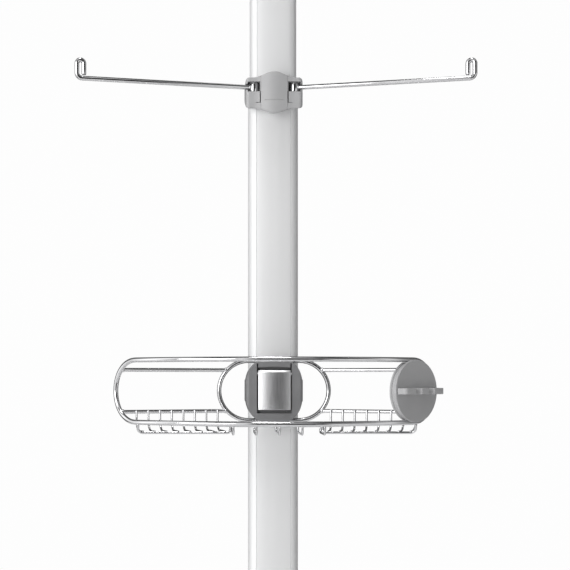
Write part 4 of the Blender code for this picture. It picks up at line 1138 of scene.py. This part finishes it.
def soft_panel(tree, direction, azimuth, elevation, half_width, half_height, blur):
    """1 inside a window of directions, by its degrees right of the front and up, fading out."""
    split = tree.nodes.new("ShaderNodeSeparateXYZ")
    tree.links.new(direction, split.inputs["Vector"])
    x, y, z = split.outputs
    bearing = math_node(tree, "ARCTAN2", x, math_node(tree, "MULTIPLY", y, -1.0))
    offset = math_node(tree, "SUBTRACT", bearing, math.radians(azimuth))
    wrapped = math_node(tree, "WRAP", offset, PI, -PI)
    across = math_node(tree, "ABSOLUTE", wrapped)
    raised = math_node(tree, "SUBTRACT", math_node(tree, "ARCSINE", z), math.radians(elevation))
    height = math_node(tree, "ABSOLUTE", raised)
    inside = []
    for value, limit in ((across, half_width), (height, half_height)):
        edge = tree.nodes.new("ShaderNodeMapRange")
        edge.interpolation_type = "SMOOTHSTEP"
        edge.inputs["From Min"].default_value = math.radians(limit - blur)
        edge.inputs["From Max"].default_value = math.radians(limit + blur)
        edge.inputs["To Min"].default_value = 1.0
        edge.inputs["To Max"].default_value = 0.0
        tree.links.new(value, edge.inputs["Value"])
        inside.append(edge.outputs["Result"])
    return math_node(tree, "MULTIPLY", inside[0], inside[1])


PANELS = (
    # azimuth, elevation, half width, half height, blur, darkness; below 0 it is a bright panel
    (9.0, 0.0, 23.0, 34.0, 5.0, 0.97),
    (50.0, 38.0, 18.0, 33.0, 6.0, 0.9),
    (-46.0, 38.0, 14.0, 33.0, 6.0, 0.9),
    (-86.0, 0.0, 18.0, 60.0, 8.0, -0.6),
    (92.0, 0.0, 14.0, 75.0, 8.0, 0.65),
)
BACK_DARKNESS = 0.85
FLOOR_DARKNESS = 0.45


def studio_shade(tree, direction):
    """Brightness of the studio by direction: dark behind and overhead, with panels in front."""
    split = tree.nodes.new("ShaderNodeSeparateXYZ")
    tree.links.new(direction, split.inputs["Vector"])
    behind = ranged(tree, split.outputs["Y"], 1.0, 1.0 - BACK_DARKNESS, -0.12, 0.22)
    above = ranged(tree, split.outputs["Z"], 1.0, 1.0 - BACK_DARKNESS, 0.84, 0.95)
    below = ranged(tree, split.outputs["Z"], 1.0 - FLOOR_DARKNESS, 1.0, -0.75, -0.25)
    light = math_node(tree, "MULTIPLY", math_node(tree, "MULTIPLY", behind, above), below)
    for *window, darkness in PANELS:
        inside = soft_panel(tree, direction, *window)
        kept = math_node(tree, "SUBTRACT", 1.0, math_node(tree, "MULTIPLY", inside, darkness))
        light = math_node(tree, "MULTIPLY", light, kept)
    return light


def area_light(name, place, target, size, power, mirrored=True):
    """A round lamp aimed at a target; unmirrored, reflections leave it out."""
    lamp = bpy.data.lights.new(name, "AREA")
    lamp.shape = "DISK"
    lamp.size = size
    lamp.energy = power
    item = bpy.data.objects.new(name, lamp)
    bpy.context.scene.collection.objects.link(item)
    item.location = place
    item.visible_glossy = mirrored
    item.rotation_euler = (Vector(target) - Vector(place)).to_track_quat("-Z", "Y").to_euler()


def build_lights():
    """Key and overhead lamps show in the metal; the low and back ones only fill."""
    area_light("key", (-1.4, -1.7, 1.45), (0, 0, 0.9), 1.4, 17)
    area_light("low_fill", (-1.1, -2.3, 0.55), (0, 0, 0.65), 1.0, 13, mirrored=False)
    area_light("overhead", (0.0, -1.0, 4.65), (0, 0, 0.95), 1.0, 36)
    area_light("back", (0.7, 1.7, 1.9), (0, 0, 0.8), 1.2, 18, mirrored=False)


CAMERA_PLACE = (-62.0 * MM, -1243.0 * MM, 857.5 * MM)


def build_camera():
    lens = bpy.data.cameras.new("camera")
    lens.sensor_width = 36.0
    lens.lens = 77.7
    lens.shift_x = 0.1288
    lens.shift_y = 0.165
    lens.clip_start = 0.02
    lens.clip_end = 50.0
    camera = bpy.data.objects.new("camera", lens)
    bpy.context.scene.collection.objects.link(camera)
    camera.location = CAMERA_PLACE
    camera.rotation_euler = (PI / 2, 0, 0)
    bpy.context.scene.camera = camera
    bpy.context.scene.view_settings.view_transform = "Standard"


build_camera()
build_pole()
build_feet()
build_head()
build_collar()
build_pole_lock()
build_arms()
build_basket()
build_soap_dish()
build_clamp()
build_lever()
build_holder()
finish_hidden_nodes()
build_stage()
build_world()
build_lights()
